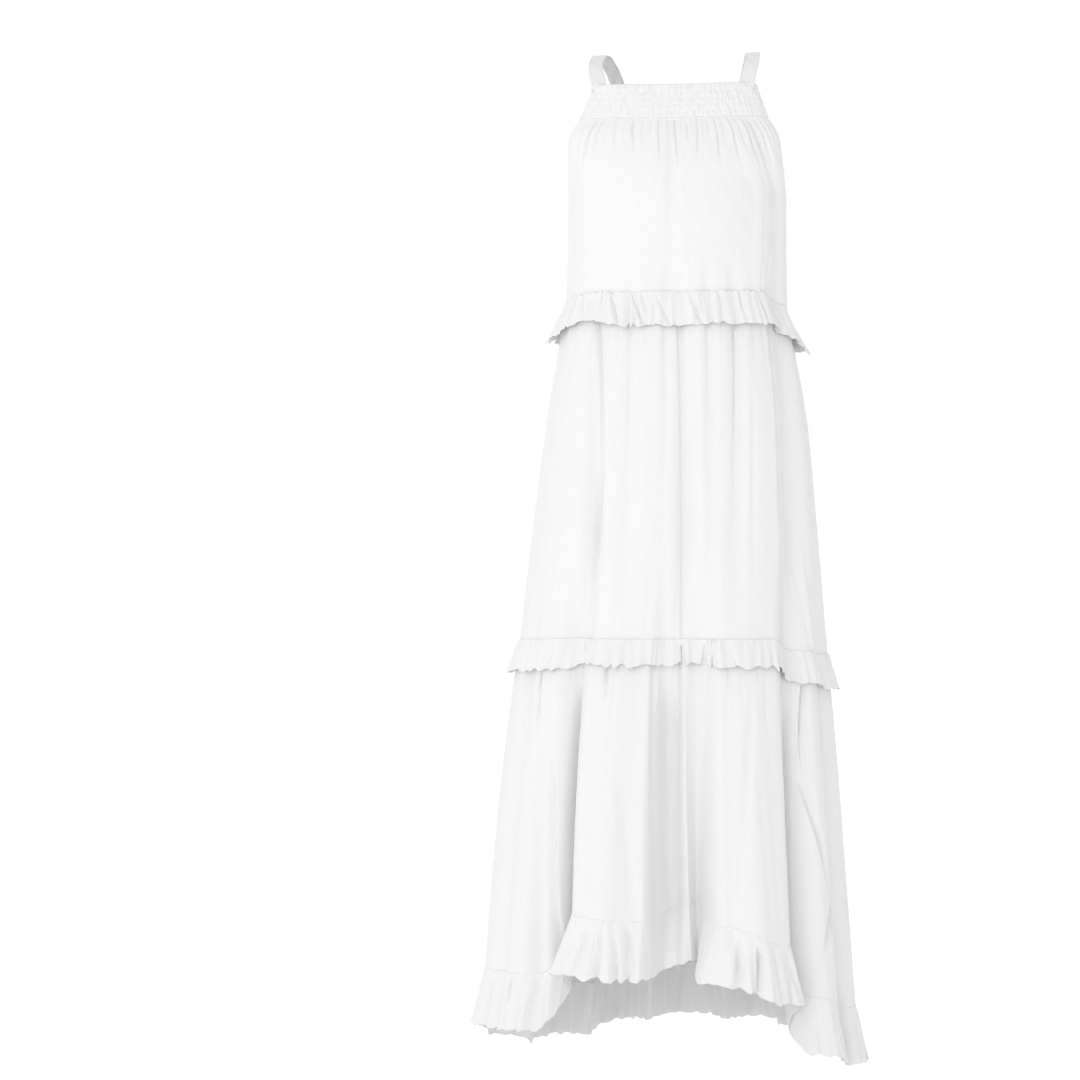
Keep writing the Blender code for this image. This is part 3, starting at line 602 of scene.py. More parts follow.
# One piece's flat cut and how it is held
Cut = namedtuple("Cut", "solid slot width length held hangs_from")


def cut_pair(solid, slot, widths, lengths, above):
    """The cuts of a front and a back piece that are gathered and hang from the like piece above them."""
    ends = ("_front", "_back")
    sizes = zip(ends, widths, lengths)
    return [Cut(solid + end, slot, wide, long, "gathered", (above + end,)) for end, wide, long in sizes]


CUTS = (
    Cut("strap_right", "cotton_strap", 0.019, 0.23, "hung", ()),
    Cut("strap_left", "cotton_strap", 0.019, 0.23, "hung", ()),
    Cut("neck_band_front", "cotton_shirred", 0.36, 0.052, "gathered", ("strap_right", "strap_left")),
    Cut("neck_band_back", "cotton_shirred", 0.33, 0.052, "gathered", ("strap_right", "strap_left")),
    *cut_pair("bodice", "cotton", (0.46, 0.44), (0.26, 0.26), "neck_band"),
    *cut_pair("tier_mid", "cotton", (0.62, 0.62), (0.45, 0.45), "bodice"),
    *cut_pair("tier_low", "cotton", (0.95, 0.95), (0.42, 0.47), "tier_mid"),
    *cut_pair("ruffle_waist", "cotton_ruffle", (0.60, 0.60), (0.048, 0.048), "bodice"),
    *cut_pair("ruffle_mid", "cotton_ruffle", (0.90, 0.90), (0.049, 0.049), "tier_mid"),
    *cut_pair("ruffle_hem", "cotton_ruffle", (1.34, 1.34), (0.080, 0.080), "tier_low"),
)

# How one cotton looks: roughness, sheen, threads to a metre, bump of its weave and crinkle, the crinkle's
# size and its two tones
Look = namedtuple("Look", "roughness sheen threads weave crinkle crinkle_across crinkle_down dark light")
TONE_LOW = (0.806, 0.807, 0.809, 1)
TONE_HIGH = (0.825, 0.825, 0.825, 1)
# The straps' two tones are a little darker than the rest of the white cotton: painted shade, for the shade
# that falls on the straps
STRAP_PAINTED_SHADE_LOW = (0.765, 0.767, 0.770, 1)
STRAP_PAINTED_SHADE_HIGH = (0.785, 0.787, 0.790, 1)
PLAIN_LOOK = Look(0.85, 0.15, 300.0, 0.35, 0.12, 0.006, 0.030, TONE_LOW, TONE_HIGH)
FRILL_LOOK = Look(0.85, 0.15, 300.0, 0.35, 0.16, 0.005, 0.018, TONE_LOW, TONE_HIGH)
SHIRRED_LOOK = Look(0.90, 0.15, 300.0, 0.35, 0.25, 0.003, 0.005, TONE_LOW, TONE_HIGH)
# The straps' look carries those darker painted-shade tones
STRAP_PAINTED_SHADE_LOOK = Look(0.85, 0.15, 300.0, 0.45, 0.15, 0.008, 0.020, STRAP_PAINTED_SHADE_LOW, STRAP_PAINTED_SHADE_HIGH)

# What all the cottons share: how they shine, the crinkle's and the threads' unevenness, the depth of weave
# and crinkle, the slubs for each metre across and down, and where the two tones lie
SHEEN_ROUGHNESS = 0.5
COTTON_SPECULAR = 0.25
CRINKLE_DETAIL = 4.0
CRINKLE_ROUGHNESS = 0.55
THREAD_DISTORTION = 0.6
THREAD_DETAIL = 1.0
WEAVE_DEPTH = 0.00012
CRINKLE_DEPTH = 0.0011
SLUBS = (900, 40, 1)
SLUB_DETAIL = 2.0
TONE_PLACES = (0.25, 0.75)

# The floor, a wide disc
FLOOR_RADIUS = 40.0
FLOOR_SIDES = 64
FLOOR_HEIGHT = -1.48
FLOOR_GLOW = 0.22
FLOOR_TONE = (0.93, 0.93, 0.93, 1)
WHITE = (1, 1, 1, 1)

# How much of the sky's light is lost towards its left side and its front, all above the horizon
Fade = namedtuple("Fade", "axis low high at_low at_high")
SKY_FADES = (
    Fade(0, 0.15, 1, 0, 0.45),
    Fade(1, -1, 0, 0.2, 0),
    Fade(2, 0.18, 0.45, 0, 1),
)

# The light in front of the dress
KEY_POWER = 24.0
KEY_SIZE = 2.2
KEY_PLACE = (-1.0, -3.5, 0.5)
KEY_TARGET = (0, 0, -0.6)

# The camera: its turn in degrees, its height and distance, how far aside it aims and its lens
CAMERA_AZIMUTH = 3.0
CAMERA_HEIGHT = -0.652
CAMERA_DISTANCE = 3.6
CAMERA_ASIDE = 0.183
CAMERA_LENS = 89.07
CAMERA_SENSOR = 36


def curve(table, places, at):
    """Rows of a table, held at rising places, read at other places on a smooth curve through them."""
    slope = np.gradient(table, places, axis=0)
    k = np.clip(np.searchsorted(places, at, side="right") - 1, 0, len(places) - 2)
    step = (places[k + 1] - places[k])[:, None]
    t = (at - places[k])[:, None] / step
    return (
        (1 + 2 * t) * (1 - t) ** 2 * table[k]
        + t * (1 - t) ** 2 * step * slope[k]
        + t * t * (3 - 2 * t) * table[k + 1]
        + t * t * (t - 1) * step * slope[k + 1]
    )


def section_at(sections, v):
    """The section at share v of a panel's height, never outside the two rows of the table on either side."""
    table = np.array(sections, float)
    places = (table[:, 0] - table[0, 0]) / (table[-1, 0] - table[0, 0])
    k = min(np.searchsorted(places, v, side="right"), len(places) - 1)
    pair = table[k - 1 : k + 1]
    return Section(*np.clip(curve(table, places, np.array([v]))[0], pair.min(axis=0), pair.max(axis=0)))


def arc(section):
    """Points along one section, from the wearer's right side to the left."""
    angle = np.linspace(0, math.pi, ARC_SAMPLES)
    power = 2 / section.square
    x = -section.half_width * np.sign(np.cos(angle)) * np.abs(np.cos(angle)) ** power
    y = section.side_y + (section.centre_y - section.side_y) * np.abs(np.sin(angle)) ** power
    return np.stack([x + section.drift, y, np.full(ARC_SAMPLES, section.height)], axis=1)


def level_steps(points):
    """The level distance from each of a run of points to the next."""
    return np.linalg.norm(np.diff(points[:, :2], axis=0), axis=1)


def lengths(points):
    """The level distance along a run of points, from 0 at its start to 1 at its end."""
    run = level_steps(points)
    return np.concatenate([[0], np.cumsum(run)]) / run.sum()


def read(values, places, at):
    """Values held at rising places, read at other places on straight lines."""
    return np.stack([np.interp(at, places, values[:, k]) for k in range(values.shape[1])], axis=1)


def outward(points, side):
    """The level direction out of the garment at each point of a row, straight to the side at its ends."""
    run = np.gradient(points[:, :2], axis=0)
    normal = side * np.stack([-run[:, 1], run[:, 0], np.zeros(len(points))], axis=1)
    return normal / np.linalg.norm(normal, axis=1)[:, None]


def hump(t):
    """One smooth hump, 1 at 0 and 0 at -1 and 1."""
    return 0.5 + 0.5 * np.cos(math.pi * np.clip(t, -1, 1))


def rise(line, s):
    """How far a seam or edge is raised at shares s, on a curve that is level at each of its points."""
    share, height = np.array(line).T
    k = np.clip(np.searchsorted(share, s, side="right") - 1, 0, len(share) - 2)
    t = np.clip((s - share[k]) / (share[k + 1] - share[k]), 0, 1)
    return height[k] + (height[k + 1] - height[k]) * t * t * (3 - 2 * t)


def drape(panel, s, v):
    """How far folds and gathers draw the cloth sideways, as a share, and push it in, in metres."""
    shift = np.zeros(len(s))
    push = np.zeros(len(s))
    for fold in panel.folds:
        t = np.clip((s - fold.top - (fold.foot - fold.top) * v) / fold.width, -1, 1)
        push += (fold.depth_top + (fold.depth_foot - fold.depth_top) * v) * hump(t)
        shift -= fold.grip * v * fold.width * np.sin(math.pi * t) / math.pi
    gathers = panel.gathers
    fade = max(0.0, 1 - v / gathers.reach) ** GATHER_FADE
    push += gathers.depth * fade * (0.5 - 0.5 * np.cos(2 * math.pi * gathers.count * s))
    return shift, push


def panel_row(panel, s, v):
    """Points of a panel's outer face, and directions out of its section, at shares s across and v down."""
    base = arc(section_at(panel.sections, v))
    level = outward(base, panel.side)
    level[0] = (-1, 0, 0)
    level[-1] = (1, 0, 0)
    shift, push = drape(panel, s, v)
    place = lengths(base)
    normals = read(level, place, s + shift)
    points = read(base, place, s + shift) - push[:, None] * normals
    points[:, 2] += (1 - v) * rise(panel.top_line, s) + v * rise(panel.foot_line, s)
    return points, normals


def wave(ruffle, t):
    """The ruffle's uneven waves at shares t along its run, 0 in a trough and up to 1 on a crest."""
    turn = ruffle.waves * t
    for drift in WAVE_DRIFTS:
        turn = turn + drift.waves * np.sin(2 * math.pi * drift.cycles * t)
    size = 1 - WAVE_SIZE_SPREAD * (1 - np.sin(2 * math.pi * WAVE_SIZE_CYCLES * t + 1))
    return size * (0.5 - 0.5 * np.cos(2 * math.pi * turn)) ** CREST_ROUNDNESS


def flare(ruffle, s):
    """How far the ruffle's free edge stands out, more at the sides than at the centre."""
    aside = np.abs(2 * s - 1) ** FLARE_POWER
    return ruffle.flare_centre + (ruffle.flare_side - ruffle.flare_centre) * aside


def band_top(sections, x):
    """The point at this width on the middle of a band's top edge."""
    base = arc(sections[0])
    s = np.interp(x, base[:, 0], lengths(base))
    point = read(base, lengths(base), [s])[0]
    return point + (0, 0, rise(NECK_LINE, np.array([s]))[0])


def crease_push(creases, s, v, width):
    """How far the creases push the cloth in at shares s across and v down, on a panel this wide."""
    push = np.zeros(len(s))
    for crease in creases:
        q = (v - crease.v0) / (crease.v1 - crease.v0)
        if q < 0 or q > 1:
            continue
        enter = 1.0 if crease.v0 == 0 or crease.seamed else min(1.0, q / CREASE_ENTER)
        leave = 1.0 if crease.v1 == 1 else min(1.0, (1 - q) / CREASE_LEAVE)
        strength = enter * enter * (3 - 2 * enter) * leave * leave * (3 - 2 * leave)
        away = (s - crease.s0 - (crease.s1 - crease.s0) * q - 4 * crease.bow * q * (1 - q)) * width
        t = np.where(away < 0, away / crease.right, away / crease.left)
        push += crease.depth * strength * hump(t)
    return push


def pleat_push(pleating, s, down, width):
    """How far fine gathers push the cloth in, at shares s across and this far from their seam."""
    rng = np.random.default_rng(pleating.seed)
    count = int(width / pleating.spacing)
    places = (np.arange(count) + rng.uniform(*PLEAT_PLACES, count)) / count
    depths = pleating.depth * rng.uniform(*PLEAT_DEPTHS, count)
    reach = pleating.length * rng.uniform(*PLEAT_LENGTHS, count) ** PLEAT_LENGTH_POWER
    spread = pleating.spacing * rng.uniform(*PLEAT_HALVES, count)
    push = np.zeros(len(s))
    for place, depth, length, half in zip(places, depths, reach, spread):
        if down < length:
            fade = (1 - down / length) ** PLEAT_FADE
            push += depth * fade * hump((s - place) * width / half)
    return push


def rumple(across, down, seed):
    """Soft uneven swelling of cloth, from -1 to 1, over distances across and down."""
    rng = np.random.default_rng(seed)
    total = np.zeros(np.broadcast(across, down).shape)
    for halving in range(RUMPLE_SIZES):
        size = 2.0**-halving
        turn = rng.uniform(0, 2 * math.pi, 2 * RUMPLE_WAVES)
        lean = rng.uniform(-RUMPLE_LEAN, RUMPLE_LEAN, RUMPLE_WAVES)
        pitch = rng.uniform(*RUMPLE_PITCHES, RUMPLE_WAVES)
        for k in range(RUMPLE_WAVES):
            wide = RUMPLE_WIDTH * size
            high = RUMPLE_HEIGHT * size * pitch[k]
            phase = across * (1 + lean[k] * RUMPLE_STRETCH) / (wide * pitch[k]) + down * lean[k] / wide
            swell = np.sin(2 * math.pi * phase + turn[k])
            swell = swell * np.sin(2 * math.pi * down / high + turn[k + RUMPLE_WAVES])
            total += size * RUMPLE_SHARE * swell
    return total


def cloth_mesh(name, rows, side, across, down, thickness, material):
    """A shell from rows of points, with its real width and height in metres as its texture place."""
    grid = np.array(rows)
    levels, columns, _ = grid.shape
    number = np.arange(levels * columns).reshape(levels, columns)
    corners = [number[:-1, :-1], number[1:, :-1], number[1:, 1:], number[:-1, 1:]]
    if side == BACK:
        corners.reverse()
    faces = np.stack([c.ravel() for c in corners], axis=1)
    mesh = bpy.data.meshes.new(name)
    mesh.vertices.add(levels * columns)
    mesh.vertices.foreach_set("co", grid.astype(np.float32).ravel())
    mesh.loops.add(faces.size)
    mesh.loops.foreach_set("vertex_index", faces.ravel().astype(np.int32))
    mesh.polygons.add(len(faces))
    mesh.polygons.foreach_set("loop_start", np.arange(0, faces.size, 4, dtype=np.int32))
    mesh.update(calc_edges=True)
    place = np.stack([np.broadcast_to(part, (levels, columns)) for part in (across, down)], axis=2)
    layer = mesh.uv_layers.new(name="cloth")
    layer.data.foreach_set("uv", place.reshape(-1, 2)[faces.ravel()].astype(np.float32).ravel())
    mesh.shade_smooth()
    mesh.materials.append(material)
    made = bpy.data.objects.new(name, mesh)
    bpy.context.scene.collection.objects.link(made)
    shell = made.modifiers.new("thickness", "SOLIDIFY")
    shell.thickness = thickness
    shell.offset = -1
    shell.use_quality_normals = True
    return made


def even_shares(panel, cell):
    """Shares across a panel that divide its folded foot into cells about this wide, and the foot's width."""
    s = np.linspace(0, 1, ARC_SAMPLES)
    points, _ = panel_row(panel, s, 1)
    run = level_steps(points).sum()
    count = int(run / cell)
    return np.interp(np.linspace(0, 1, count + 1), lengths(points), s), run


def level_shares(height, cell):
    """Shares down a piece in even steps, closer together along its two edges."""
    steps = int(height / cell)
    even = np.linspace(0, 1, steps + 1)
    near = np.array(EDGE_STEPS) / height
    return np.unique(np.concatenate([even, near, 1 - near]))


def grown(least, share):
    """A strength that grows evenly from its least to 1 as the share goes from 0 to 1, and stays there."""
    return least + (1 - least) * min(1.0, share)


def fine_push(shell, s, v, height, width, joined):
    """How far the fine folds push one row of a panel inward; they ease off into a joined foot."""
    down = v * height
    growth = grown(TOP_GROWTH, down / PLEAT_START)
    if joined:
        growth *= grown(FOOT_GROWTH, (height - down) / PLEAT_START)
    push = crease_push(shell.creases, s, v, width) + pleat_push(shell.top_pleats, s, down, width)
    push *= growth
    push += pleat_push(shell.foot_pleats, s, height - down, width)
    swell = RUMPLE_DEPTH * rumple(s * width, down, shell.top_pleats.seed)
    inset = np.minimum(s, 1 - s) * width
    edge = np.clip(inset / EDGE_EASE, 0, 1)
    return (push + swell) * edge + SEAM_SINK * hump(inset / SEAM_REACH)


def softened(rows, down):
    """Rows evened out over a short way up and down, less and less towards the first and last."""
    reach = np.minimum(np.minimum(down, down[-1] - down), SOFTEN_REACH) + LEAST_REACH
    weight = np.clip(1 - np.abs(down[None, :] - down[:, None]) / reach[:, None], 0, 1)
    weight /= weight.sum(axis=1, keepdims=True)
    return np.tensordot(weight, rows, axes=1)


def build_shell(shell, below, material):
    """The fine cloth of one panel; its foot meets the top of the panel below, if there is one."""
    panel = shell.panel
    s, width = even_shares(panel, shell.cell_across)
    height = panel.sections[0].height - panel.sections[-1].height
    levels = level_shares(height, shell.cell_down)
    down = levels * height
    faces, ways = [], []
    for v in levels:
        growth = grown(TOP_GROWTH, v * height / PLEAT_START)
        gathers = panel.gathers._replace(depth=growth * min(SOFT_GATHERS, panel.gathers.depth))
        face, way = panel_row(panel._replace(gathers=gathers), s, v)
        faces.append(face)
        ways.append(way)
    faces = softened(np.array(faces), down)
    ways = softened(np.array(ways), down)
    flat = np.zeros(faces[0].shape)
    if panel in (BODICE_FRONT, BODICE_BACK):
        flat = panel_row(panel._replace(gathers=PLAIN, folds=()), s, 0)[0] - faces[0]
    if below:
        seam = panel_row(below.panel, s, 0)[0] - faces[-1]
    rows = []
    for k, v in enumerate(levels):
        push = fine_push(shell, s, v, height, width, bool(below))
        row = faces[k] + max(0.0, 1 - down[k] / FLAT_REACH) * flat
        if below:
            row += max(0.0, (v - panel.join) / (1 - panel.join)) * seam
            push += SEAM_SINK * hump((height - down[k]) / SEAM_REACH)
        rows.append(row - push[:, None] * ways[k])
    top = [rows[0] + (0, 0, share * TUCK_UP) - share * TOP_TUCK_IN * ways[0] for share in TUCK_STEPS]
    down = np.concatenate([-np.array(TUCK_STEPS) * TUCK_UP, down])
    return cloth_mesh(
        shell.solid + "_cloth", top + rows, panel.side, s[None, :] * width, down[:, None], SHELL, material
    )


def hem_ridge(down, depth):
    """How far the rolled and stitched edge of a ruffle stands out, this far down it."""
    left = depth - down
    return HEM_RAISE * hump(left / HEM_REACH - HEM_MIDDLE)


def build_ruffle(name, shell, look, material):
    """One ruffle's fine cloth, hanging over a tier from its top seam or free from its foot."""
    ruffle = look.ruffle
    tier = shell.panel
    s, width = even_shares(tier, look.cell_across)
    t = np.linspace(0, 1, len(s))
    height = tier.sections[0].height - tier.sections[-1].height
    rng = np.random.default_rng(look.pleats.seed + (tier.side == BACK))
    turns = rng.uniform(0, 2 * math.pi, 3)
    aside = look.lean * np.sin(2 * math.pi * look.lean_cycles * t + turns[0])
    aside += LEAN_SHARE * look.lean * np.sin(2 * math.pi * (2 * look.lean_cycles + 1) * t + turns[1])
    drift = SECOND_DRIFT * np.sin(2 * math.pi * SECOND_DRIFT_CYCLES * t)
    small = np.sin(2 * math.pi * look.second_waves * t + drift + turns[2])
    creased = look.creases if tier.side == FRONT else ()
    levels = level_shares(ruffle.depth, look.cell_down)
    top = np.concatenate([-np.array(TUCK_STEPS) * TUCK_UP, ROLL_STEPS]) / ruffle.depth
    levels = np.concatenate([top, levels[levels > top[-1]]])
    uneven = 0.5 + 0.5 * rumple(t * width * ROLL_FINENESS, 0.0, look.pleats.seed + ROLL_SEED)
    roll = look.roll * (ROLL_LEAST + (1 - ROLL_LEAST) * uneven)
    lobes = EDGE_LOBES * rumple(t * width * LOBE_FINENESS, 0.0, look.pleats.seed + LOBE_SEED)
    rows = []
    for level in levels:
        down = level * ruffle.depth
        hung = max(0.0, down)
        open_share = max(0.0, level)
        full = open_share**WAVE_GROWTH
        crest = wave(ruffle, t + aside * full)
        second = look.second * small * full
        if look.hanging:
            row, normals = panel_row(tier, s, hung / height)
            stand = -TUCK_IN + (TUCK_IN + RUFFLE_STAND) * min(1.0, (down + TUCK_UP) / STAND_REACH)
            rolled = roll * hung / ROLL_PEAK * math.exp(1 - hung / ROLL_PEAK)
            out = stand + open_share * flare(ruffle, s) + full * WAVE_SHARE * ruffle.wave * crest + second
            scallop = SCALLOP_SHARE * ruffle.scallop * (1 - crest**2)
            row[:, 2] += open_share * (scallop + lobes) + max(0.0, -down) + rolled
            if ruffle == RUFFLE_WAIST and tier.side == FRONT:
                row[:, 2] += open_share * rise(WAIST_EDGE, s) + rolled / look.roll * rise(WAIST_TOP, s)
            lean = 1.0
        else:
            row, normals = panel_row(tier, s, 1)
            lean = np.abs((outward(row, tier.side) * normals).sum(axis=1))
            waved = full * HEM_WAVE_SHARE * ruffle.wave * (crest - HEM_WAVE_REST) + second
            out = open_share * flare(ruffle, s) + waved * lean
            out -= crease_push(shell.creases, s, 1.0, width) * (1 - HEM_CREASE_LOSS * open_share)
            out -= HEM_TUCK_IN * max(0.0, 1 - (down + TUCK_UP) / HEM_TUCK_REACH)
            if tier.side == FRONT:
                for spread in HEM_SPREADS:
                    drawn = spread.x * hump((s - spread.share) / spread.width)
                    row[:, 0] += HEM_SPREAD_SHARE * open_share * drawn
            scallop = HEM_SCALLOP_SHARE * ruffle.scallop * (1 - crest**2)
            row[:, 2] += open_share * (scallop + lobes) - down
        pleats = pleat_push(look.pleats, t, hung, width) * grown(RUFFLE_GROWTH, hung / RUFFLE_PLEAT_START)
        pleats += crease_push(creased, s, open_share, width)
        swell = RUMPLE_DEPTH * rumple(t * width, down, look.pleats.seed)
        row += (out - (pleats + swell) * lean + hem_ridge(down, ruffle.depth))[:, None] * normals
        rows.append(row)
    across = t[None, :] * width
    return cloth_mesh(
        name + "_cloth", rows, tier.side, across, levels[:, None] * ruffle.depth, RUFFLE_SHELL, material
    )


def pucker_rows(seed):
    """The puckers of each shirred row: their places across the band, depths and half widths."""
    rng = np.random.default_rng(seed)
    shared = (np.arange(PUCKERS) + rng.uniform(*PUCKER_PLACES, PUCKERS)) / PUCKERS
    rows = []
    for _ in range(BAND_LINES):
        places = shared + rng.normal(0, PUCKER_STRAY / PUCKERS, PUCKERS)
        depths = PUCKER_DEPTH * rng.uniform(*PUCKER_DEPTHS, PUCKERS)
        halves = PUCKER_HALF * rng.uniform(*PUCKER_HALVES, PUCKERS)
        rows.append((places, depths, halves))
    return rows


def build_band_cloth(name, side, sections, seed, material):
    """The neck band's cloth, puffed and puckered between its elastic lines."""
    base = arc(sections[-1])
    width = level_steps(base).sum()
    height = sections[0].height - sections[-1].height
    s = np.linspace(0, 1, int(width / BAND_CELL) + 1)
    levels = np.linspace(0, 1, int(height / BAND_CELL) + 1)
    puckers = pucker_rows(seed)
    rows = []
    for v in levels:
        section = arc(section_at(sections, v))
        points = read(section, lengths(section), s)
        points[:, 2] += rise(NECK_LINE, s)
        k = min(int(v * BAND_LINES), BAND_LINES - 1)
        inside = v * BAND_LINES - k
        puff = math.sin(math.pi * inside) ** BAND_PUFF_POWER
        push = np.zeros(len(s))
        for n, (places, depths, halves) in enumerate(puckers):
            near = hump((v * BAND_LINES - n - 0.5) / PUCKER_REACH)
            if near > 0:
                for place, depth, half in zip(places, depths, halves):
                    push += near * depth * hump((s - place) * width / half)
        swell = BAND_SWELL * rumple(s * width, v * height * BAND_SWELL_FINENESS, seed)
        edge = np.clip(np.minimum(s, 1 - s) * width / BAND_EASE, 0, 1)
        out = BAND_PUFF * puff + (swell - push * grown(PUCKER_LEAST, puff)) * edge
        rows.append(points + out[:, None] * outward(points, side))
    across = s[None, :] * width
    return cloth_mesh(name + "_cloth", rows, side, across, levels[:, None] * height, SHELL, material)


def build_strap_cloth(name, steps, material):
    """A flat strap's cloth, its stitched edges a little raised and its ends tucked inside the two bands."""
    start = band_top(BAND_FRONT_SECTIONS, steps[0].x) + (0, WALL / 2, SEAM_GAP)
    end = band_top(BAND_BACK_SECTIONS, steps[-1].x) + (0, -WALL / 2, SEAM_GAP)
    share = np.linspace(0, 1, len(steps))
    foot = start[2] + (end[2] - start[2]) * share
    table = np.zeros((len(steps), 3))
    table[:, 0] = [step.x for step in steps]
    table[:, 1] = start[1] + (end[1] - start[1]) * (0.5 - 0.5 * np.cos(math.pi * share))
    table[:, 2] = foot + (STRAP_THICK / 2 - foot) * [step.climb for step in steps]
    line = curve(table, share, np.linspace(0, 1, STRAP_ROWS))
    line[:, 2] = np.minimum(line[:, 2], STRAP_THICK / 2)
    first = line[0] + (0, STRAP_TUCK_IN, -STRAP_TUCK_DOWN)
    last = line[-1] + (0, -STRAP_TUCK_IN, -STRAP_TUCK_DOWN)
    line = np.concatenate([[first], line, [last]])
    run = np.gradient(line, axis=0)
    run /= np.linalg.norm(run, axis=1)[:, None]
    across = np.tile(np.array([1.0, 0.0, 0.0]), (len(line), 1))
    across -= (across * run).sum(axis=1)[:, None] * run
    across /= np.linalg.norm(across, axis=1)[:, None]
    up = np.cross(across, run)
    q = np.linspace(-1, 1, STRAP_COLUMNS)
    path = np.concatenate([[0], np.cumsum(np.linalg.norm(np.diff(line, axis=0), axis=1))])
    rows = []
    for place, a, u, at in zip(line, across, up, path):
        ripple = RIPPLE * np.sin(2 * math.pi * (at / RIPPLE_LENGTH + RIPPLE_LEAN * q))
        stitched = STITCH_RAISE * hump((np.abs(q) - STITCH_PLACE) / STITCH_HALF)
        out = ripple + stitched - STRAP_BULGE * q**2
        rows.append(place + (q * STRAP_WIDTH / 2)[:, None] * a + (out + SHELL / 2)[:, None] * u)
    across = q[None, :] * STRAP_WIDTH / 2
    return cloth_mesh(name + "_cloth", rows, BACK, across, path[:, None], SHELL, material)


def node(tree, kind, **values):
    """One shader node. Each value sets the socket or setting of its name, or is an output to link to it."""
    made = tree.nodes.new(kind)
    for key, value in values.items():
        if isinstance(value, bpy.types.NodeSocket):
            tree.links.new(value, made.inputs[key])
        elif key in made.inputs:
            made.inputs[key].default_value = value
        else:
            setattr(made, key, value)
    return made


def combined(tree, operation, first, second):
    """The output of a node that joins two outputs, the first of which may be a number."""
    made = node(tree, "ShaderNodeMath", operation=operation)
    if isinstance(first, bpy.types.NodeSocket):
        tree.links.new(first, made.inputs[0])
    else:
        made.inputs[0].default_value = first
    tree.links.new(second, made.inputs[1])
    return made.outputs[0]


def cotton(name, look):
    """Soft white cotton: a fine plain weave with slubs, an uneven crinkle and faint changes of tone."""
    made = bpy.data.materials.new(name)
    made.use_nodes = True
    tree = made.node_tree
    shader = tree.nodes["Principled BSDF"]
    shader.inputs["Roughness"].default_value = look.roughness
    shader.inputs["Sheen Weight"].default_value = look.sheen
    shader.inputs["Sheen Roughness"].default_value = SHEEN_ROUGHNESS
    shader.inputs["Specular IOR Level"].default_value = COTTON_SPECULAR
    place = node(tree, "ShaderNodeUVMap", uv_map="cloth").outputs["UV"]
    scale = (1 / look.crinkle_across, 1 / look.crinkle_down, 1)
    warp = node(tree, "ShaderNodeMapping", Scale=scale, Vector=place).outputs["Vector"]
    crumpled = node(tree, "ShaderNodeTexNoise", Vector=warp, Scale=1.0, Detail=CRINKLE_DETAIL)
    crumpled.inputs["Roughness"].default_value = CRINKLE_ROUGHNESS
    crinkle = crumpled.outputs["Fac"]
    threads = []
    for turn in (0.0, math.pi / 2):
        lay = node(tree, "ShaderNodeMapping", Rotation=(0, 0, turn), Vector=place).outputs["Vector"]
        thread = node(tree, "ShaderNodeTexWave", Vector=lay, Scale=look.threads, Detail=THREAD_DETAIL)
        thread.inputs["Distortion"].default_value = THREAD_DISTORTION
        threads.append(thread.outputs["Fac"])
    weave = combined(tree, "ADD", *threads)
    fine = node(tree, "ShaderNodeBump", Strength=look.weave, Distance=WEAVE_DEPTH, Height=weave)
    soft = node(tree, "ShaderNodeBump", Strength=look.crinkle, Distance=CRINKLE_DEPTH, Height=crinkle)
    tree.links.new(fine.outputs["Normal"], soft.inputs["Normal"])
    tree.links.new(soft.outputs["Normal"], shader.inputs["Normal"])
    slub = node(tree, "ShaderNodeMapping", Scale=SLUBS, Vector=place).outputs["Vector"]
    yarn = node(tree, "ShaderNodeTexNoise", Vector=slub, Scale=1.0, Detail=SLUB_DETAIL).outputs["Fac"]
    tone = node(tree, "ShaderNodeValToRGB", Fac=yarn)
    for stop, position, shade in zip(tone.color_ramp.elements, TONE_PLACES, (look.dark, look.light)):
        stop.position = position
        stop.color = shade
    tree.links.new(tone.outputs["Color"], shader.inputs["Base Color"])
    return made


def area_light(name, power, size, place, target):
    """A soft square light that looks at a point."""
    lamp = bpy.data.lights.new(name, "AREA")
    lamp.energy = power
    lamp.size = size
    made = bpy.data.objects.new(name, lamp)
    bpy.context.scene.collection.objects.link(made)
    made.location = place
    made.rotation_euler = (Vector(target) - Vector(place)).to_track_quat("-Z", "Y").to_euler()


def faded(tree, value, fade):
    """An output that goes smoothly from one strength to the other as the value goes from low to high."""
    ends = {"From Min": fade.low, "From Max": fade.high, "To Min": fade.at_low, "To Max": fade.at_high}
    made = node(tree, "ShaderNodeMapRange", interpolation_type="SMOOTHSTEP", Value=value, **ends)
    return made.outputs["Result"]


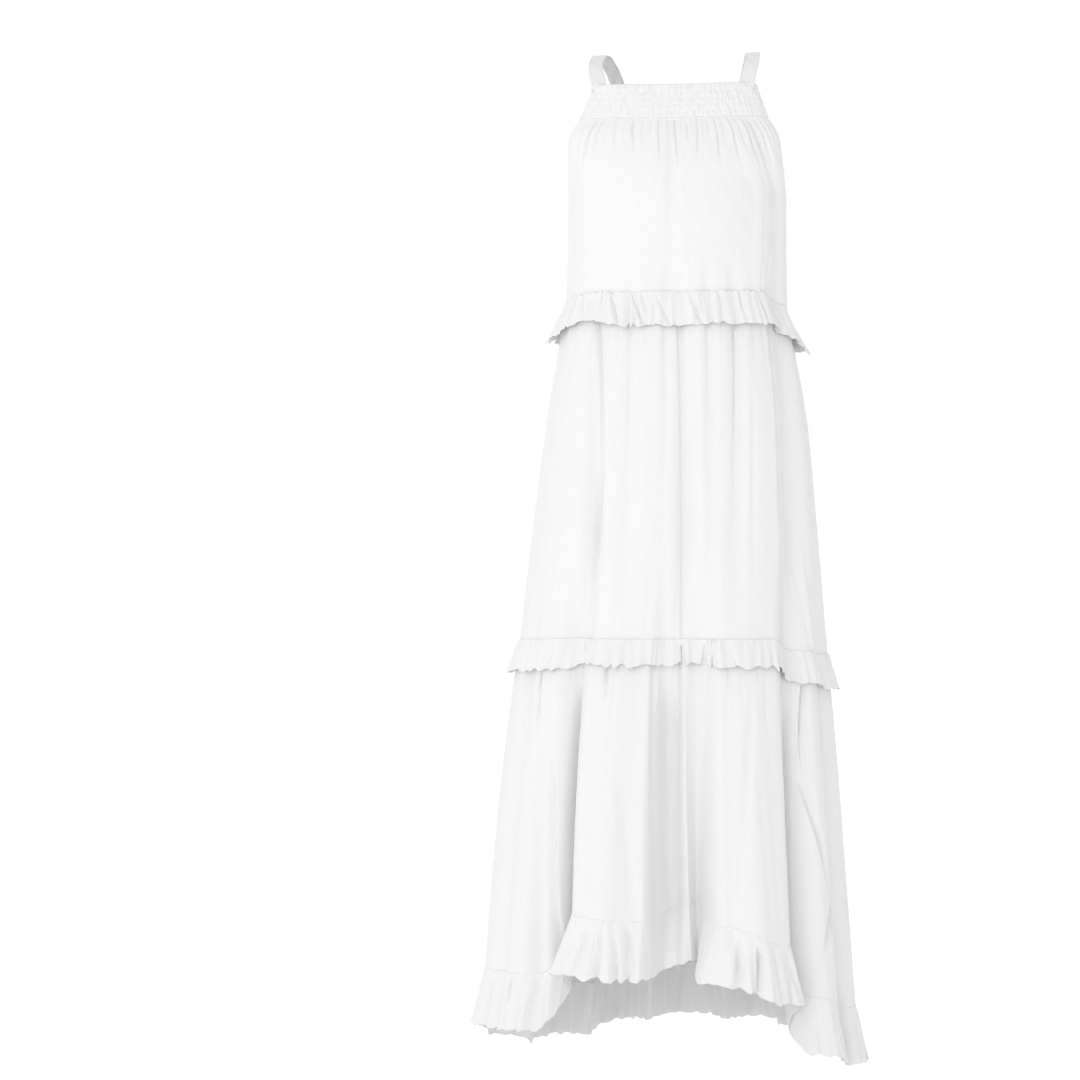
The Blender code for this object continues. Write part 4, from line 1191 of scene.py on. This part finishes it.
def build_studio():
    """A white floor and even white light, stronger from the left of the front."""
    mesh = bpy.data.meshes.new("floor")
    turns = [2 * math.pi * k / FLOOR_SIDES for k in range(FLOOR_SIDES)]
    ring = [(FLOOR_RADIUS * math.cos(turn), FLOOR_RADIUS * math.sin(turn), FLOOR_HEIGHT) for turn in turns]
    mesh.from_pydata(ring, [], [tuple(range(FLOOR_SIDES))])
    floor = bpy.data.objects.new("floor", mesh)
    bpy.context.scene.collection.objects.link(floor)
    paint = bpy.data.materials.new("floor")
    paint.use_nodes = True
    shader = paint.node_tree.nodes["Principled BSDF"]
    shader.inputs["Base Color"].default_value = FLOOR_TONE
    shader.inputs["Roughness"].default_value = 1.0
    shader.inputs["Specular IOR Level"].default_value = 0.0
    shader.inputs["Emission Color"].default_value = WHITE
    shader.inputs["Emission Strength"].default_value = FLOOR_GLOW
    mesh.materials.append(paint)
    world = bpy.data.worlds.new("studio")
    world.use_nodes = True
    tree = world.node_tree
    sky = tree.nodes["Background"]
    sky.inputs["Color"].default_value = WHITE
    direction = node(tree, "ShaderNodeTexCoord").outputs["Generated"]
    parts = node(tree, "ShaderNodeSeparateXYZ", Vector=direction)
    side, front, above = (faded(tree, parts.outputs[fade.axis], fade) for fade in SKY_FADES)
    loss = combined(tree, "MULTIPLY", combined(tree, "ADD", side, front), above)
    tree.links.new(combined(tree, "SUBTRACT", 1.0, loss), sky.inputs["Strength"])
    bpy.context.scene.world = world
    area_light("key", KEY_POWER, KEY_SIZE, KEY_PLACE, KEY_TARGET)
    bpy.context.scene.view_settings.view_transform = "Standard"


def build_camera():
    """A long lens level with the middle of the dress, a little to its left side."""
    az = math.radians(CAMERA_AZIMUTH)
    middle = Vector((0, 0, CAMERA_HEIGHT))
    eye = middle + CAMERA_DISTANCE * Vector((math.sin(az), -math.cos(az), 0))
    aim = middle - CAMERA_ASIDE * Vector((math.cos(az), math.sin(az), 0))
    data = bpy.data.cameras.new("camera")
    data.lens = CAMERA_LENS
    data.sensor_width = CAMERA_SENSOR
    made = bpy.data.objects.new("camera", data)
    bpy.context.scene.collection.objects.link(made)
    made.location = eye
    made.rotation_euler = (aim - eye).to_track_quat("-Z", "Y").to_euler()
    bpy.context.scene.camera = made


def main():
    """All the cloth pieces, each in place of its solid."""
    plain = cotton("white_cotton", PLAIN_LOOK)
    frilled = cotton("white_cotton_frill", FRILL_LOOK)
    shirred = cotton("white_cotton_shirred", SHIRRED_LOOK)
    # The straps get a darker copy of the white cotton, as painted shade
    strap_cotton_painted_shade = cotton("white_cotton_strap_painted_shade", STRAP_PAINTED_SHADE_LOOK)
    made = {}
    for shell in SHELLS:
        below = next((other for other in SHELLS if other.solid == BELOW.get(shell.solid)), None)
        made[shell.solid] = build_shell(shell, below, plain)
    for look in RUFFLE_LOOKS:
        for suffix in ("_front", "_back"):
            name = look.ruffle.name + suffix
            shell = next(other for other in SHELLS if other.solid == look.tier + suffix)
            made[name] = build_ruffle(name, shell, look, frilled)
    bands = (
        ("neck_band_front", FRONT, BAND_FRONT_SECTIONS, BAND_FRONT_SEED),
        ("neck_band_back", BACK, BAND_BACK_SECTIONS, BAND_BACK_SEED),
    )
    for name, side, sections, seed in bands:
        made[name] = build_band_cloth(name, side, sections, seed, shirred)
    for name, steps in (("strap_right", STRAP_RIGHT_STEPS), ("strap_left", STRAP_LEFT_STEPS)):
        made[name] = build_strap_cloth(name, steps, strap_cotton_painted_shade)
    for cut in CUTS:
        piece = made[cut.solid]
        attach(piece, "root")
        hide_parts(cut.solid)


main()
build_studio()
build_camera()
